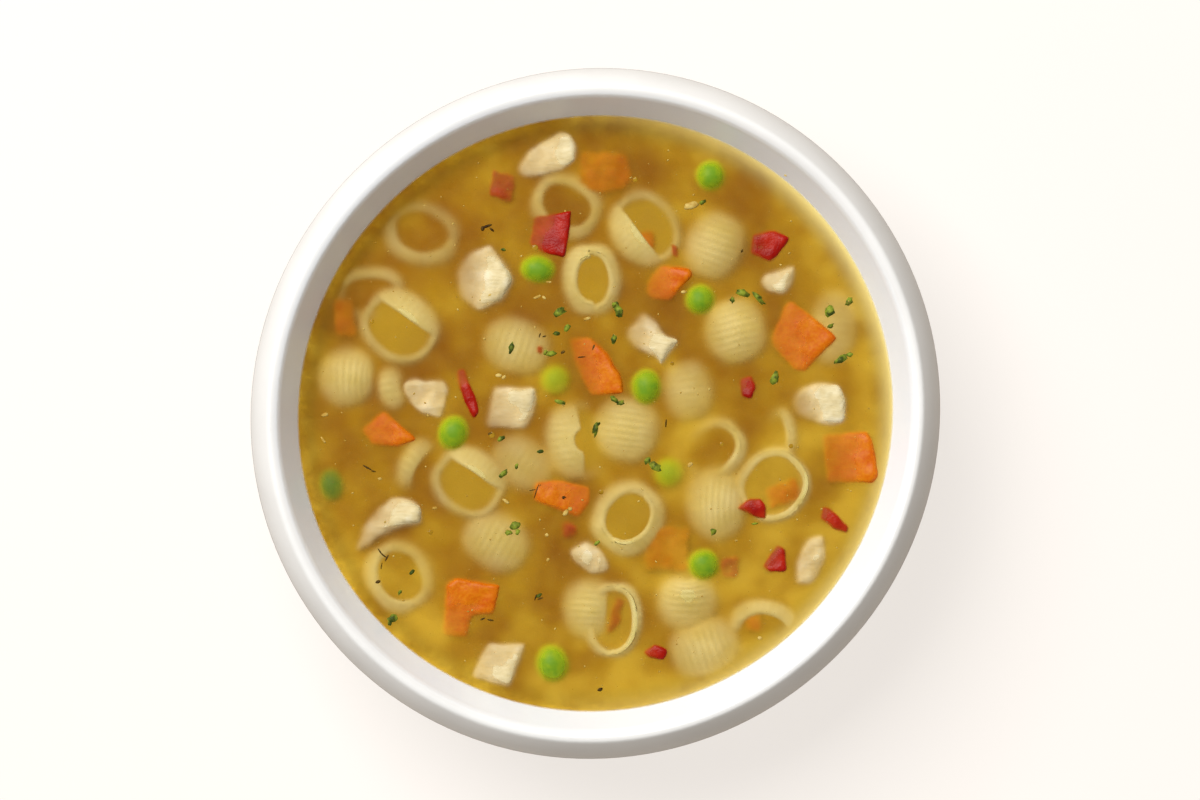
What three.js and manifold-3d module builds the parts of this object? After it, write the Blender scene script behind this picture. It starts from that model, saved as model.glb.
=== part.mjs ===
// A bowl of chicken noodle soup: a white stoneware bowl, a cloudy golden broth, and the pasta
// shells, chicken, peas, carrot and red pepper that break its surface.
// Millimetres, +Z up. The origin is the middle of the bowl's foot, on the table.

import * as THREE from "three";
import { mergeVertices } from "three/addons/utils/BufferGeometryUtils.js";
import Module from "manifold-3d";

const wasm = await Module();
wasm.setup();

// ---- driving dimensions -------------------------------------------------------------------

const RIM_HEIGHT = 58; // the crest of the rim above the table
const CREST_RADIUS = 83.7; // where the rim is highest
const COLLAR_RADIUS = 89.9; // the widest edge of the thick collar under the crest
const COLLAR_EDGE = 48.4; // height of that widest edge
const SOUP_LEVEL = 47; // 11 mm below the crest
const SOUP_RADIUS = 77.6; // inside radius of the bowl at the soup's level
const FLOOR_HEIGHT = 8.5; // the inside floor of the bowl
const FOOT_RADIUS = 45; // outside of the foot ring
const FOOT_WIDTH = 6.5;
const FOOT_RECESS = 3; // how far the base is raised inside the foot ring
const TURNING_STEPS = 48; // facets round the bowl
const INSIDE_STEPS = 5; // facets from the middle of its floor up to the soup's level

const OVAL = 0.009; // the thrown bowl is this much longer one way, and shorter across
const OVAL_TURN = 48; // degrees from +X to its long way

const GAP = 0.32; // left between neighbours
const RISE = 0.8; // how far a cut piece stands out of the broth

const radians = THREE.MathUtils.degToRad;

// ---- joining and cutting ------------------------------------------------------------------

// Moves every corner of a closed mesh so that each of its faces lies an amount further out.
function grow(geometry, amount) {
  const { position } = geometry.attributes;
  const index = geometry.index.array;
  const corners = [new THREE.Vector3(), new THREE.Vector3(), new THREE.Vector3()];
  const spreads = Array.from({ length: position.count }, () => new THREE.Matrix3().multiplyScalar(1e-3));
  const pulls = Array.from({ length: position.count }, () => new THREE.Vector3());
  for (let i = 0; i < index.length; i += 3) {
    corners.forEach((corner, k) => corner.fromBufferAttribute(position, index[i + k]));
    const normal = new THREE.Triangle(...corners).getNormal(new THREE.Vector3());
    corners.forEach((corner, k) => {
      const towards = [1, 2].map((step) => corners[(k + step) % 3].clone().sub(corner));
      const share = towards[0].angleTo(towards[1]);
      const { x, y, z } = normal;
      const outer = new THREE.Matrix3().set(x * x, x * y, x * z, x * y, y * y, y * z, x * z, y * z, z * z);
      const spread = spreads[index[i + k]];
      outer.elements.forEach((value, at) => {
        spread.elements[at] += share * value;
      });
      pulls[index[i + k]].addScaledVector(normal, share * amount);
    });
  }
  pulls.forEach((pull, i) => {
    pull.applyMatrix3(spreads[i].invert());
    position.setXYZ(i, position.getX(i) + pull.x, position.getY(i) + pull.y, position.getZ(i) + pull.z);
  });
}

function solidOf(geometry, margin = 0) {
  const bare = geometry.clone();
  for (const name of ["normal", "uv"]) {
    bare.deleteAttribute(name);
  }
  const merged = mergeVertices(bare, 1e-4);
  grow(merged, margin);
  const triVerts = Uint32Array.from(merged.index.array);
  const vertProperties = Float32Array.from(merged.attributes.position.array);
  return new wasm.Manifold(new wasm.Mesh({ numProp: 3, vertProperties, triVerts }));
}

function geometryOf(solid) {
  const { vertProperties, triVerts } = solid.getMesh();
  const geometry = new THREE.BufferGeometry();
  geometry.setAttribute("position", new THREE.BufferAttribute(vertProperties, 3));
  geometry.setIndex(new THREE.BufferAttribute(triVerts, 1));
  geometry.computeVertexNormals();
  return geometry;
}

function largestBody(solid) {
  const bodies = solid.decompose();
  return bodies.reduce((best, body) => (body.volume() > best.volume() ? body : best));
}

function moveVertices(geometry, place) {
  const position = geometry.attributes.position;
  const point = new THREE.Vector3();
  for (let i = 0; i < position.count; i += 1) {
    point.fromBufferAttribute(position, i);
    place(point);
    position.setXYZ(i, point.x, point.y, point.z);
  }
  return geometry;
}

// ---- the bowl and the space inside it -----------------------------------------------------

function ovalTurned(geometry) {
  geometry.rotateX(Math.PI / 2); // a lathe turns about Y, and the bowl stands on Z
  geometry.rotateZ(-radians(OVAL_TURN));
  geometry.scale(1 + OVAL, 1 - OVAL, 1);
  geometry.rotateZ(radians(OVAL_TURN));
  return geometry;
}

function turned(outline) {
  return ovalTurned(new THREE.LatheGeometry(outline, TURNING_STEPS));
}

// The inside face from the middle of the floor up to the soup's level, moved in by a margin.
function insideCurve(margin) {
  const from = new THREE.Vector2(0, FLOOR_HEIGHT + margin);
  const to = new THREE.Vector2(SOUP_RADIUS - margin, SOUP_LEVEL);
  const flatFloor = new THREE.Vector2(SOUP_RADIUS * 0.83, FLOOR_HEIGHT + margin);
  const steepWall = new THREE.Vector2(SOUP_RADIUS - 6.6 - margin, SOUP_LEVEL - 14.5);
  return new THREE.CubicBezierCurve(from, flatFloor, steepWall, to);
}

function bowlGeometry() {
  const footInside = FOOT_RADIUS - FOOT_WIDTH;
  const collarUnder = COLLAR_EDGE - 4.2;
  const outline = new THREE.Path();
  outline.moveTo(0, FOOT_RECESS);
  outline.lineTo(footInside - 1, FOOT_RECESS);
  outline.lineTo(footInside, 0);
  outline.lineTo(FOOT_RADIUS - 1, 0);
  outline.lineTo(FOOT_RADIUS, 1.5);
  outline.lineTo(FOOT_RADIUS, 5.5);
  outline.bezierCurveTo(61, 8.5, 77, 25, COLLAR_RADIUS - 7.2, collarUnder - 1);
  outline.quadraticCurveTo(COLLAR_RADIUS - 0.6, collarUnder, COLLAR_RADIUS, COLLAR_EDGE);
  outline.quadraticCurveTo(
    COLLAR_RADIUS - 1.2, RIM_HEIGHT - 3.2, CREST_RADIUS + 1.2, RIM_HEIGHT - 0.3,
  );
  outline.quadraticCurveTo(CREST_RADIUS, RIM_HEIGHT + 0.3, CREST_RADIUS - 1.4, RIM_HEIGHT - 0.9);
  outline.lineTo(SOUP_RADIUS, SOUP_LEVEL);
  const inside = insideCurve(0).getPoints(INSIDE_STEPS).reverse();
  const points = [...outline.getPoints(4), ...inside.slice(1)];
  const axis = points.at(-1);
  axis.x = 0;
  return turned(points);
}

// Everything that lies in the bowl has to stay in this solid, a gap clear of the wall.
function roomSolid(margin, top) {
  const flare = (top - SOUP_LEVEL) * 0.45;
  const points = insideCurve(margin).getPoints(INSIDE_STEPS);
  points.push(new THREE.Vector2(SOUP_RADIUS - margin + flare, top));
  points.push(new THREE.Vector2(0, top));
  return solidOf(turned(points));
}

// ---- cut pieces: chicken, carrot and pepper -----------------------------------------------

// A smooth unevenness, the same for every vertex that shares a place.
function uneven(point, amount, seed) {
  const { x, y, z } = point;
  point.x += amount * Math.sin(0.9 * y + 0.7 * z + seed);
  point.y += amount * Math.sin(0.8 * z + 0.85 * x + 2 * seed);
  point.z += amount * Math.sin(0.75 * x + 0.95 * y + 3 * seed);
}

// corners are seen from above. A piece dips towards dip[0] degrees by dip[1] degrees.
function chunkSolid(piece, family, margin) {
  const { bevel, rings, rough, narrow } = family;
  const thick = piece.thick ?? family.thick;
  const [dipTowards, dipBy] = piece.dip ?? [0, 0];
  const centre = new THREE.Vector2();
  for (const [x, y] of piece.corners) {
    centre.x += x / piece.corners.length;
    centre.y += y / piece.corners.length;
  }
  const corners = piece.corners.map(([x, y]) => new THREE.Vector2(x - centre.x, y - centre.y));
  const geometry = new THREE.ExtrudeGeometry(new THREE.Shape(corners), {
    depth: thick - 2 * bevel,
    bevelThickness: bevel,
    bevelSize: bevel,
    bevelOffset: -bevel,
    bevelSegments: rings,
    steps: 1,
  });
  geometry.translate(0, 0, bevel - thick);
  moveVertices(geometry, (point) => {
    const shrink = 1 + (narrow * point.z) / thick;
    point.x *= shrink;
    point.y *= shrink;
    uneven(point, rough, piece.corners.length + centre.x);
  });
  const towards = radians(dipTowards);
  const axis = new THREE.Vector3(-Math.sin(towards), Math.cos(towards), 0);
  geometry.applyMatrix4(new THREE.Matrix4().makeRotationAxis(axis, radians(dipBy)));
  geometry.translate(centre.x, centre.y, SOUP_LEVEL + (piece.rise ?? RISE));
  return solidOf(geometry, margin);
}

const CHICKEN = {
  name: "chicken",
  thick: 10,
  bevel: 1.3,
  rings: 1,
  rough: 0.28,
  narrow: 0.12,
  colour: 0xead6b6,
  pieces: [
    {
      corners: [
        [-20.7, 64.4], [-17.3, 68.6], [-9, 74], [-6.5, 73.3], [-4, 69.5],
        [-5.3, 65.8], [-8, 63.3], [-16.6, 61], [-20.2, 62.3],
      ],
      thick: 7,
    },
    {
      corners: [
        [-33.8, 42.1], [-27.5, 44.2], [-23.9, 39.5], [-21.3, 34.6], [-23.9, 30.1],
        [-30.7, 26.5], [-35.9, 30.1], [-36.7, 36.9],
      ],
      dip: [160, 10],
    },
    {
      corners: [[-27, 7.2], [-15.5, 6.7], [-15.8, 0.4], [-18.1, -4.6], [-29.1, -3.8]],
      dip: [225, 5],
    },
    {
      corners: [
        [12.4, 26.7], [8, 23.1], [7.4, 20], [10.3, 16.6], [14.7, 15.3], [17.3, 12.1],
        [18.9, 15.5], [22, 19.4], [18.1, 20.5], [15, 25.4],
      ],
      dip: [150, 10],
      thick: 8,
    },
    {
      corners: [
        [42.9, 34.4], [43.7, 36.5], [47.6, 37.9], [52, 39], [52.6, 37.2], [51.5, 33.5],
        [48.7, 30.9], [43.9, 32.3],
      ],
      dip: [90, 9],
      thick: 6,
    },
    {
      corners: [
        [51.8, 6.1], [57.5, 8.3], [63.3, 7.7], [65.7, 3.5], [65.1, -3], [59.1, -3.6],
        [53.3, -1.7], [50, 1.7],
      ],
      dip: [200, 10],
      thick: 8,
    },
    {
      corners: [
        [-63.1, -36.2], [-61.2, -29.3], [-57.3, -24.4], [-52.6, -21.3], [-48.1, -21.5],
        [-45.5, -24.1], [-45, -28.4], [-51.3, -29.6], [-55.7, -31.5], [-59.3, -34.6],
      ],
      dip: [135, 12],
      thick: 8,
    },
    { corners: [[-28.6, -59.4], [-17.9, -59.7], [-21.8, -71.5], [-32.4, -69]], dip: [60, 8] },
    {
      corners: [
        [-7.2, -35.6], [-1.9, -32.8], [1.2, -35.2], [4.6, -38.6], [3.6, -41.6],
        [-1.4, -41.9], [-5.3, -38.4],
      ],
      dip: [10, 9],
      thick: 6,
    },
    {
      corners: [
        [55.4, -32.2], [59.8, -31.4], [60.3, -38.2], [58.2, -42.7], [56.3, -45.1],
        [51.9, -45.1], [52.4, -38.2],
      ],
      thick: 7,
    },
  ],
};

const CARROT = {
  name: "carrot",
  thick: 7,
  bevel: 0.5,
  rings: 1,
  rough: 0.1,
  narrow: 0.06,
  colour: 0xdf741d,
  pieces: [
    {
      corners: [
        [16.8, 38.9], [24.5, 37.8], [25.5, 36], [21.3, 31.4], [19.5, 29], [13.7, 30.1],
        [12.7, 33.3],
      ],
      dip: [200, 8],
      thick: 6,
    },
    {
      corners: [
        [49.7, 28.9], [51.5, 29.4], [59.3, 23.4], [63.4, 19.6], [59.1, 15.5],
        [54.9, 10.7], [52, 11.3], [46.3, 17.3], [45.8, 19.7],
      ],
    },
    {
      corners: [[-7.4, 19.6], [-1.4, 19.9], [3, 15.8], [7, 8.9], [7.6, 4.9], [-1.4, 4.3], [-5.3, 11.9]],
      dip: [200, 9],
      thick: 6,
    },
    { corners: [[-61.2, -4.3], [-55.2, 1], [-46.2, -7], [-51, -8.8], [-58.3, -8.3]], thick: 5 },
    {
      corners: [[58.8, -5.6], [70.8, -4.4], [72.3, -7.2], [73.8, -16.6], [72.4, -18.4], [60.4, -18.1]],
      dip: [180, 6],
    },
    {
      corners: [[-15.8, -17.9], [-9.3, -17.3], [-0.8, -19.2], [-1.2, -23.6], [-3.9, -27.1], [-16.1, -23]],
      dip: [20, 8],
      thick: 5,
    },
    {
      corners: [
        [-39, -44.7], [-36.1, -42.9], [-24.7, -44.7], [-26.2, -52.6], [-32, -52.8],
        [-33.3, -58.6], [-39.8, -58.1],
      ],
      dip: [300, 6],
    },
  ],
};

const PEPPER = {
  name: "pepper",
  thick: 3.2,
  bevel: 0.4,
  rings: 1,
  rough: 0.12,
  narrow: 0.04,
  colour: 0xc5281f,
  pieces: [
    {
      corners: [[-16, 51.5], [-6.4, 53], [-6.9, 47.3], [-8.2, 40.5], [-14.5, 42.3], [-17.4, 44.2]],
      dip: [160, 9],
    },
    { corners: [[41.1, 46.8], [46.8, 47.9], [50.8, 45.8], [47.6, 41], [45.5, 39.4], [40.5, 41.8]] },
    {
      corners: [
        [-36.1, 11.6], [-34, 11.9], [-32.7, 7.4], [-30.8, 3.5], [-30.5, 0.1],
        [-31.7, -1.5], [-33.8, 2.2], [-35.6, 6.7],
      ],
      dip: [90, 4],
    },
    { corners: [[37.4, 9.3], [40.8, 10], [42.1, 6.7], [40.8, 3.8], [38, 4.3]], dip: [120, 8] },
    { corners: [[36.9, -24.7], [40, -22.2], [43.2, -22], [44.8, -24.7], [44.5, -27.8], [41.3, -27.1]] },
    { corners: [[47.3, -33.8], [49.5, -35.3], [49.9, -40.9], [45.3, -41.6], [43.4, -39.8]], dip: [120, 8] },
    { corners: [[59.1, -24.4], [61.2, -24.7], [66.3, -29.6], [65.7, -31.5], [62, -30.1], [58.6, -27.5]] },
    { corners: [[12.4, -62.2], [15.5, -60.2], [18.8, -61.8], [17.8, -64.2], [14.2, -64]] },
  ],
};

// ---- peas ---------------------------------------------------------------------------------

const PEA_ACROSS = 8; // facets round a pea
const PEA_DOWN = 6; // facets from pole to pole
const PEA_RISE = 1.4;
const PEA_COLOUR = 0x8fbb32;

// width and length are seen from above, and turn is from +Y, anticlockwise.
const PEAS = [
  { at: [30.1, 62], width: 8, length: 8.2 },
  { at: [-15, 37.6], width: 7.4, length: 9.4, turn: 82 },
  { at: [27.4, 29.7], width: 8, length: 8.3 },
  { at: [13.3, 6.9], width: 8.2, length: 9.7 },
  { at: [-37.1, -5.1], width: 8.2, length: 9.6, turn: -22 },
  { at: [28.3, -39.5], width: 8.5, length: 8.5 },
  { at: [-11.2, -65.3], width: 8.9, length: 10.2, turn: 14 },
];

function peaSolid(pea, margin) {
  const { width, length, turn = 0 } = pea;
  const geometry = new THREE.SphereGeometry(1, PEA_ACROSS, PEA_DOWN);
  geometry.rotateX(Math.PI / 2);
  geometry.scale(width / 2, length / 2, width / 2);
  geometry.rotateZ(radians(turn));
  geometry.translate(pea.at[0], pea.at[1], SOUP_LEVEL + PEA_RISE - width / 2);
  return solidOf(geometry, margin);
}

// ---- pasta shells -------------------------------------------------------------------------

// A shell is a rolled sheet of pasta: its wall sweeps about the long axis, local Y, from one
// free edge to the other and leaves a slot open, and it draws in to a small tip at each end.
const PASTA_WALL = 1.6;
const SHELL_FLAT = 0.72; // depth over width
const SHELL_HUB = 0.3; // the ring's core radius, over the half width
const SLOT_LEAST = 0.5; // half of the slot where the free edges meet, towards the tips
const STRAIGHT_LIP = 0.86; // the lip that a straight edge runs into, over the half width
const TIP_TURN = radians(105); // how far the section curls in at each tip
const SWEEP_STEPS = 6;
const TIP_STEPS = 5;
const SHELL_RISE = 1.5;
const PASTA_COLOUR = 0xdcc684;

// width is across the sweep and length from tip to tip. left and right are how far each free
// edge lies from the middle of the slot, over the half width, and straight is an edge that was
// cut straight. spin turns the slot about the long axis, 180 being face down; nod raises the
// +Y tip, and turn is the direction of that tip from +Y, anticlockwise, seen from above.
const SHELLS = [
  { name: "shell_01", at: [8.2, -4.3], width: 18.3, length: 17, left: 0.9, right: 0.9, spin: 180, turn: -8 },
  { name: "shell_02", at: [8.6, -27.4], width: 18.6, length: 19, left: 0.68, right: 0.64, flat: 0.5,
    spin: -3, nod: -4, rise: 1.1, turn: -37 },
  { name: "shell_03", at: [-0.9, 35], width: 15.6, length: 18.6, left: 0.58, right: 0.7, flat: 0.55,
    nod: 4, rise: 1.1, turn: 3 },
  { name: "shell_04", at: [-51, 22.6], width: 18.6, length: 20, left: 0.86, right: 0.35,
    straight: "right", flat: 0.55, spin: 6, rise: 1.2, turn: 55 },
  { name: "shell_05", at: [-33, -18.1], width: 18, length: 19, left: 0.86, right: 0.35,
    straight: "right", flat: 0.55, spin: 6, rise: 1.2, turn: 55 },
  { name: "shell_06", at: [-3.6, -51], width: 19, length: 17, left: 0.9, right: 0.9, flat: 0.95,
    spin: 92, turn: -2 },
  { name: "shell_07", at: [46.6, -18.9], width: 18.4, length: 18.8, left: 0.88, right: 0.88, flat: 0.5,
    spin: -4, nod: 3, rise: 1.1, turn: -44 },
  { name: "shell_08", at: [31.7, -23.6], width: 21.5, length: 16.6, left: 0.9, right: 0.9, spin: 180,
    nod: 14, turn: -90 },
  { name: "shell_09", at: [-65.2, 9.5], width: 16.4, length: 15, left: 0.9, right: 0.9, spin: 180,
    nod: 14, turn: -92 },
  { name: "shell_10", at: [13, 48.1], width: 18, length: 19.4, left: 0.2, right: 0.88,
    straight: "left", flat: 0.55, spin: -5, rise: 1.2, turn: 38 },
  { name: "shell_11", at: [36.7, 21.4], width: 16.8, length: 16.6, left: 0.9, right: 0.9, spin: 180,
    rise: 1.1, turn: 15 },
  { name: "shell_12", at: [24.1, -50.2], width: 17, length: 16.4, left: 0.9, right: 0.9, spin: 180,
    nod: 26 },
  { name: "shell_13", at: [-4.8, -7.2], width: 17.2, length: 20, left: 0.25, right: 0.9, spin: 14, turn: 7 },
  { name: "shell_14", at: [4.9, -53.9], width: 15, length: 19.3, left: 0.85, right: 0.8, flat: 0.6,
    spin: -6, rise: 1.2, turn: -5 },
];

// The angle, from the back of the shell, at which the wall ends on one side. The lip of the mouth
// keeps the height that it has at its middle and closes towards the tips. A straight edge runs
// along the shell until it meets such a lip.
function sweepEnd(shell, side, ring, halfWidth) {
  const straight = shell.straight === side;
  const edge = straight ? STRAIGHT_LIP : shell[side];
  const height = Math.min(ring, halfWidth * Math.sqrt(1 - edge * edge));
  const lip = Math.sqrt(ring * ring - height * height);
  const slot = straight ? Math.min(lip, shell[side] * halfWidth) : lip;
  return Math.PI - Math.asin(Math.min(1, Math.max(slot, SLOT_LEAST) / ring));
}

function shellGeometry(shell) {
  const { width, length, flat = SHELL_FLAT } = shell;
  const halfWidth = (width - PASTA_WALL) / 2;
  const halfLength = (length - PASTA_WALL) / 2;
  const hub = SHELL_HUB * halfWidth;
  const arm = halfWidth - hub;
  const geometry = new THREE.BoxGeometry(2, 2, 1, SWEEP_STEPS, TIP_STEPS, 1);
  return moveVertices(geometry, (point) => {
    const tip = point.y * TIP_TURN;
    const ring = hub + arm * Math.cos(tip);
    const outwards = new THREE.Vector2(halfLength * Math.cos(tip), arm * Math.sin(tip));
    outwards.setLength(-point.z * PASTA_WALL);
    const radius = ring + outwards.x;
    const sweep = point.x * sweepEnd(shell, point.x > 0 ? "right" : "left", ring, halfWidth);
    point.set(
      radius * Math.sin(sweep),
      halfLength * Math.sin(tip) + outwards.y,
      -radius * Math.cos(sweep) * flat,
    );
  });
}

function shellTurn(shell) {
  const { spin = 0, nod = 0, turn = 0 } = shell;
  const matrix = new THREE.Matrix4().makeRotationZ(radians(turn));
  matrix.multiply(new THREE.Matrix4().makeRotationX(radians(nod)));
  return matrix.multiply(new THREE.Matrix4().makeRotationY(radians(spin)));
}

// The shell's own outline is centred on its place, and its highest point stands out by its rise.
function shellSolid(shell, margin) {
  const geometry = shellGeometry(shell).applyMatrix4(shellTurn(shell));
  geometry.computeBoundingBox();
  const { min, max } = geometry.boundingBox;
  const middle = min.clone().add(max).divideScalar(2);
  const rise = shell.rise ?? SHELL_RISE;
  geometry.translate(shell.at[0] - middle.x, shell.at[1] - middle.y, SOUP_LEVEL + rise - max.z);
  return solidOf(geometry, margin);
}

// ---- herb flecks on the broth -------------------------------------------------------------

const FLECK_THICK = 0.6; // half of it stands above the broth

// [x, y, length, width, turn]
const FLECKS = [
  [-28.3, 48.6, 3, 1.6, 20], [-7.7, 27.3, 2.6, 1.4, 70], [5.4, 27.6, 2.8, 1.8, 110],
  [-22, 17.1, 2.4, 1.4, 15], [-25.6, -6.6, 2.6, 1.4, 130], [-20.6, -13.8, 2.4, 1.6, 80],
  [-21.3, -29.3, 3.4, 2.4, 20], [-59.3, -14.5, 3, 1.2, 140], [39.4, 33.4, 3, 1.5, 130],
  [60.9, 26.9, 3, 2.2, 100], [66.1, 29.1, 2.6, 1.6, 50], [65.4, 14.4, 3.6, 1.8, 25],
  [46.6, 8.6, 3.4, 1.8, 70], [-55.8, -38.6, 2.8, 1.8, 70], [-52.8, -53.6, 2.8, 2, 50],
  [-14.7, -47.9, 2.6, 1.8, 60],
];

function fleckSolid([x, y, length, width, turn]) {
  const geometry = new THREE.CylinderGeometry(0.5, 0.5, FLECK_THICK, 4);
  geometry.rotateX(Math.PI / 2);
  geometry.scale(length, width, 1);
  geometry.rotateZ(radians(turn));
  geometry.translate(x, y, SOUP_LEVEL);
  return solidOf(geometry);
}

// ---- putting the soup together ------------------------------------------------------------

function foodPieces() {
  const pieces = [];
  for (const family of [PEPPER, CARROT, CHICKEN]) {
    family.pieces.forEach((piece, i) => {
      pieces.push({
        name: `${family.name}_${i + 1}`,
        colour: family.colour,
        solid: chunkSolid(piece, family, 0),
        pocket: chunkSolid(piece, family, GAP),
      });
    });
  }
  PEAS.forEach((pea, i) => {
    pieces.push({
      name: `pea_${i + 1}`,
      colour: PEA_COLOUR,
      solid: peaSolid(pea, 0),
      pocket: peaSolid(pea, GAP),
    });
  });
  for (const shell of SHELLS) {
    pieces.push({
      name: shell.name,
      colour: PASTA_COLOUR,
      solid: shellSolid(shell, 0),
      pocket: shellSolid(shell, GAP),
    });
  }
  return pieces;
}

function mesh(name, geometry, colour, roughness) {
  const material = new THREE.MeshStandardMaterial({ color: colour, roughness, metalness: 0 });
  const made = new THREE.Mesh(geometry, material);
  made.name = name;
  return made;
}

const soup = new THREE.Group();
soup.add(mesh("bowl", bowlGeometry(), 0xf5f2ee, 0.25));

// Each piece gives way to the ones before it and to the bowl, and the broth to all of them.
const room = roomSolid(2 * GAP, RIM_HEIGHT);
let broth = FLECKS.reduce((rest, fleck) => rest.add(fleckSolid(fleck)), roomSolid(GAP, SOUP_LEVEL));
const earlier = [];
for (const piece of foodPieces()) {
  const solid = earlier.reduce((rest, other) => rest.subtract(other.pocket), piece.solid.intersect(room));
  soup.add(mesh(piece.name, geometryOf(largestBody(solid)), piece.colour, 0.5));
  broth = broth.subtract(piece.pocket);
  earlier.push(piece);
}
broth = largestBody(broth);
soup.add(mesh("broth", geometryOf(broth), 0xb9882c, 0.2));

export default soup;
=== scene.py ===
# %% [markdown]
# # A bowl of chicken noodle soup
# A thick white bowl holds a cloudy golden broth. Pasta shells, cubes of chicken, peas, carrot
# and red pepper float in it. Some break the surface and look crisp, and the rest lie just under
# it and fade into the broth. The solid model is loaded first, and every new piece is fitted to it.

# %% Load the solid model
import math
import random
import bmesh
import bpy
from mathutils import Matrix, Vector, noise


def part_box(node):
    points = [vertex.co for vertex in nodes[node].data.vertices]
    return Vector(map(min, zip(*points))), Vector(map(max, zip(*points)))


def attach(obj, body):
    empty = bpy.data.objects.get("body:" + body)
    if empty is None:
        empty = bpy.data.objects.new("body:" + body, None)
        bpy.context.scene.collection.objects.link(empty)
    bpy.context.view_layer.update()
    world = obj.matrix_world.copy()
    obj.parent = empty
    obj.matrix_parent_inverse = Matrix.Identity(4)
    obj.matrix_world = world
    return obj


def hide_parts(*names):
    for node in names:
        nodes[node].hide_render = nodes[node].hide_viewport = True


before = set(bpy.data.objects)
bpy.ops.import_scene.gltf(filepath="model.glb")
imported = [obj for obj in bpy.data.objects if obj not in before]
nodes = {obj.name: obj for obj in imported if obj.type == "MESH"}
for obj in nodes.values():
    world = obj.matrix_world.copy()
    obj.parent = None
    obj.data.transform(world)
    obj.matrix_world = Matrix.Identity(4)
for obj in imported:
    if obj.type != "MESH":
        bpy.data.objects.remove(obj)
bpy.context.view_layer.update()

# %% [markdown]
# ## The measures that everything shares
# Blender counts in metres, and a soup is easier to think of in millimetres, so sizes are written
# in millimetres and every mesh is scaled down once, when it is finished. The level of the broth
# matters most: it decides where the crisp part of each piece ends and the faded part starts.

# %% Shared measures, in millimetres
MM = 0.001
SOUP_LEVEL = 47.0
SOUP_RADIUS = 77.6
RIM_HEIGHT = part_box("bowl")[1].z / MM
print(f"the crest stands {RIM_HEIGHT - SOUP_LEVEL:.1f} mm above the broth")


# %% How a piece is finished
def sized(name):
    """Prints the size of a finished object, to see that it is what was meant."""
    size = bpy.data.objects[name].dimensions / MM
    print(f"{name}: {size.x:.1f} x {size.y:.1f} x {size.z:.1f} mm")


def add_piece(name, shape, finishes, slot, stands_for=()):
    """Turns a bmesh in millimetres into a finished, smooth-shaded piece of the soup.

    Light is scattered all round in a broth, so only the bowl throws a shadow."""
    bmesh.ops.scale(shape, vec=(MM, MM, MM), verts=shape.verts)
    mesh = bpy.data.meshes.new(name)
    shape.to_mesh(mesh)
    shape.free()
    mesh.shade_smooth()
    for finish in finishes:
        mesh.materials.append(finish)
    piece = bpy.data.objects.new(name, mesh)
    bpy.context.scene.collection.objects.link(piece)
    piece.visible_shadow = slot == "stoneware"
    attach(piece, "root")
    if stands_for:
        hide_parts(*stands_for)
    return piece


# %% [markdown]
# ## Camera and light
# The bowl is looked at from straight above, so the camera needs no turning: an unturned camera
# looks down. A long lens keeps the rim from hiding the inner wall. The light is one large soft
# lamp on the upper left, low enough to leave the near inner wall in shade, with a bright warm
# surrounding that fills the shadows.

# %% Camera
scene = bpy.context.scene
LENS_HEIGHT = 1200.0
SENSOR = 36.0
VIEW_WIDTH = 310.0  # what the camera takes in at the height of the rim
camera_data = bpy.data.cameras.new("camera")
camera_data.sensor_width = SENSOR
camera_data.lens = SENSOR * (LENS_HEIGHT - RIM_HEIGHT) / VIEW_WIDTH
camera = bpy.data.objects.new("camera", camera_data)
camera.location = Vector((1.2, 3.5, LENS_HEIGHT)) * MM
scene.collection.objects.link(camera)
scene.camera = camera
print(f"lens {camera_data.lens:.0f} mm")

# %% Light
scene.view_settings.view_transform = "Standard"


def add_lamp(name, azimuth, elevation, distance, size, power, colour):
    """A square lamp that faces the bowl. Azimuth 0 is on the right, 90 at the back."""
    data = bpy.data.lights.new(name, "AREA")
    data.size = size
    data.energy = power
    data.color = colour
    lamp = bpy.data.objects.new(name, data)
    turn, lift = math.radians(azimuth), math.radians(elevation)
    level = math.cos(lift)
    away = Vector((math.cos(turn) * level, math.sin(turn) * level, math.sin(lift)))
    lamp.location = away * distance
    lamp.rotation_euler = away.to_track_quat("Z", "Y").to_euler()
    scene.collection.objects.link(lamp)


LAMP_SIDE = 128
add_lamp("window", LAMP_SIDE, elevation=57, distance=1.6, size=1.0, power=31,
         colour=(1.0, 0.985, 0.96))
ROOM_GLOW = 0.27
world = bpy.data.worlds.new("room")
world.use_nodes = True
room = world.node_tree.nodes["Background"]
room.inputs["Color"].default_value = (1.0, 0.92, 0.83, 1)
room.inputs["Strength"].default_value = ROOM_GLOW
scene.world = world
print(f"{len(bpy.data.lights)} lamp, and a room that glows at {ROOM_GLOW}")

# %% [markdown]
# ## How finishes are made
# Every finish is a small tree of shader nodes round one Principled shader. A few helpers keep
# the trees readable. All patterns read Object coordinates, so they stay on the food when the
# camera moves.

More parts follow.
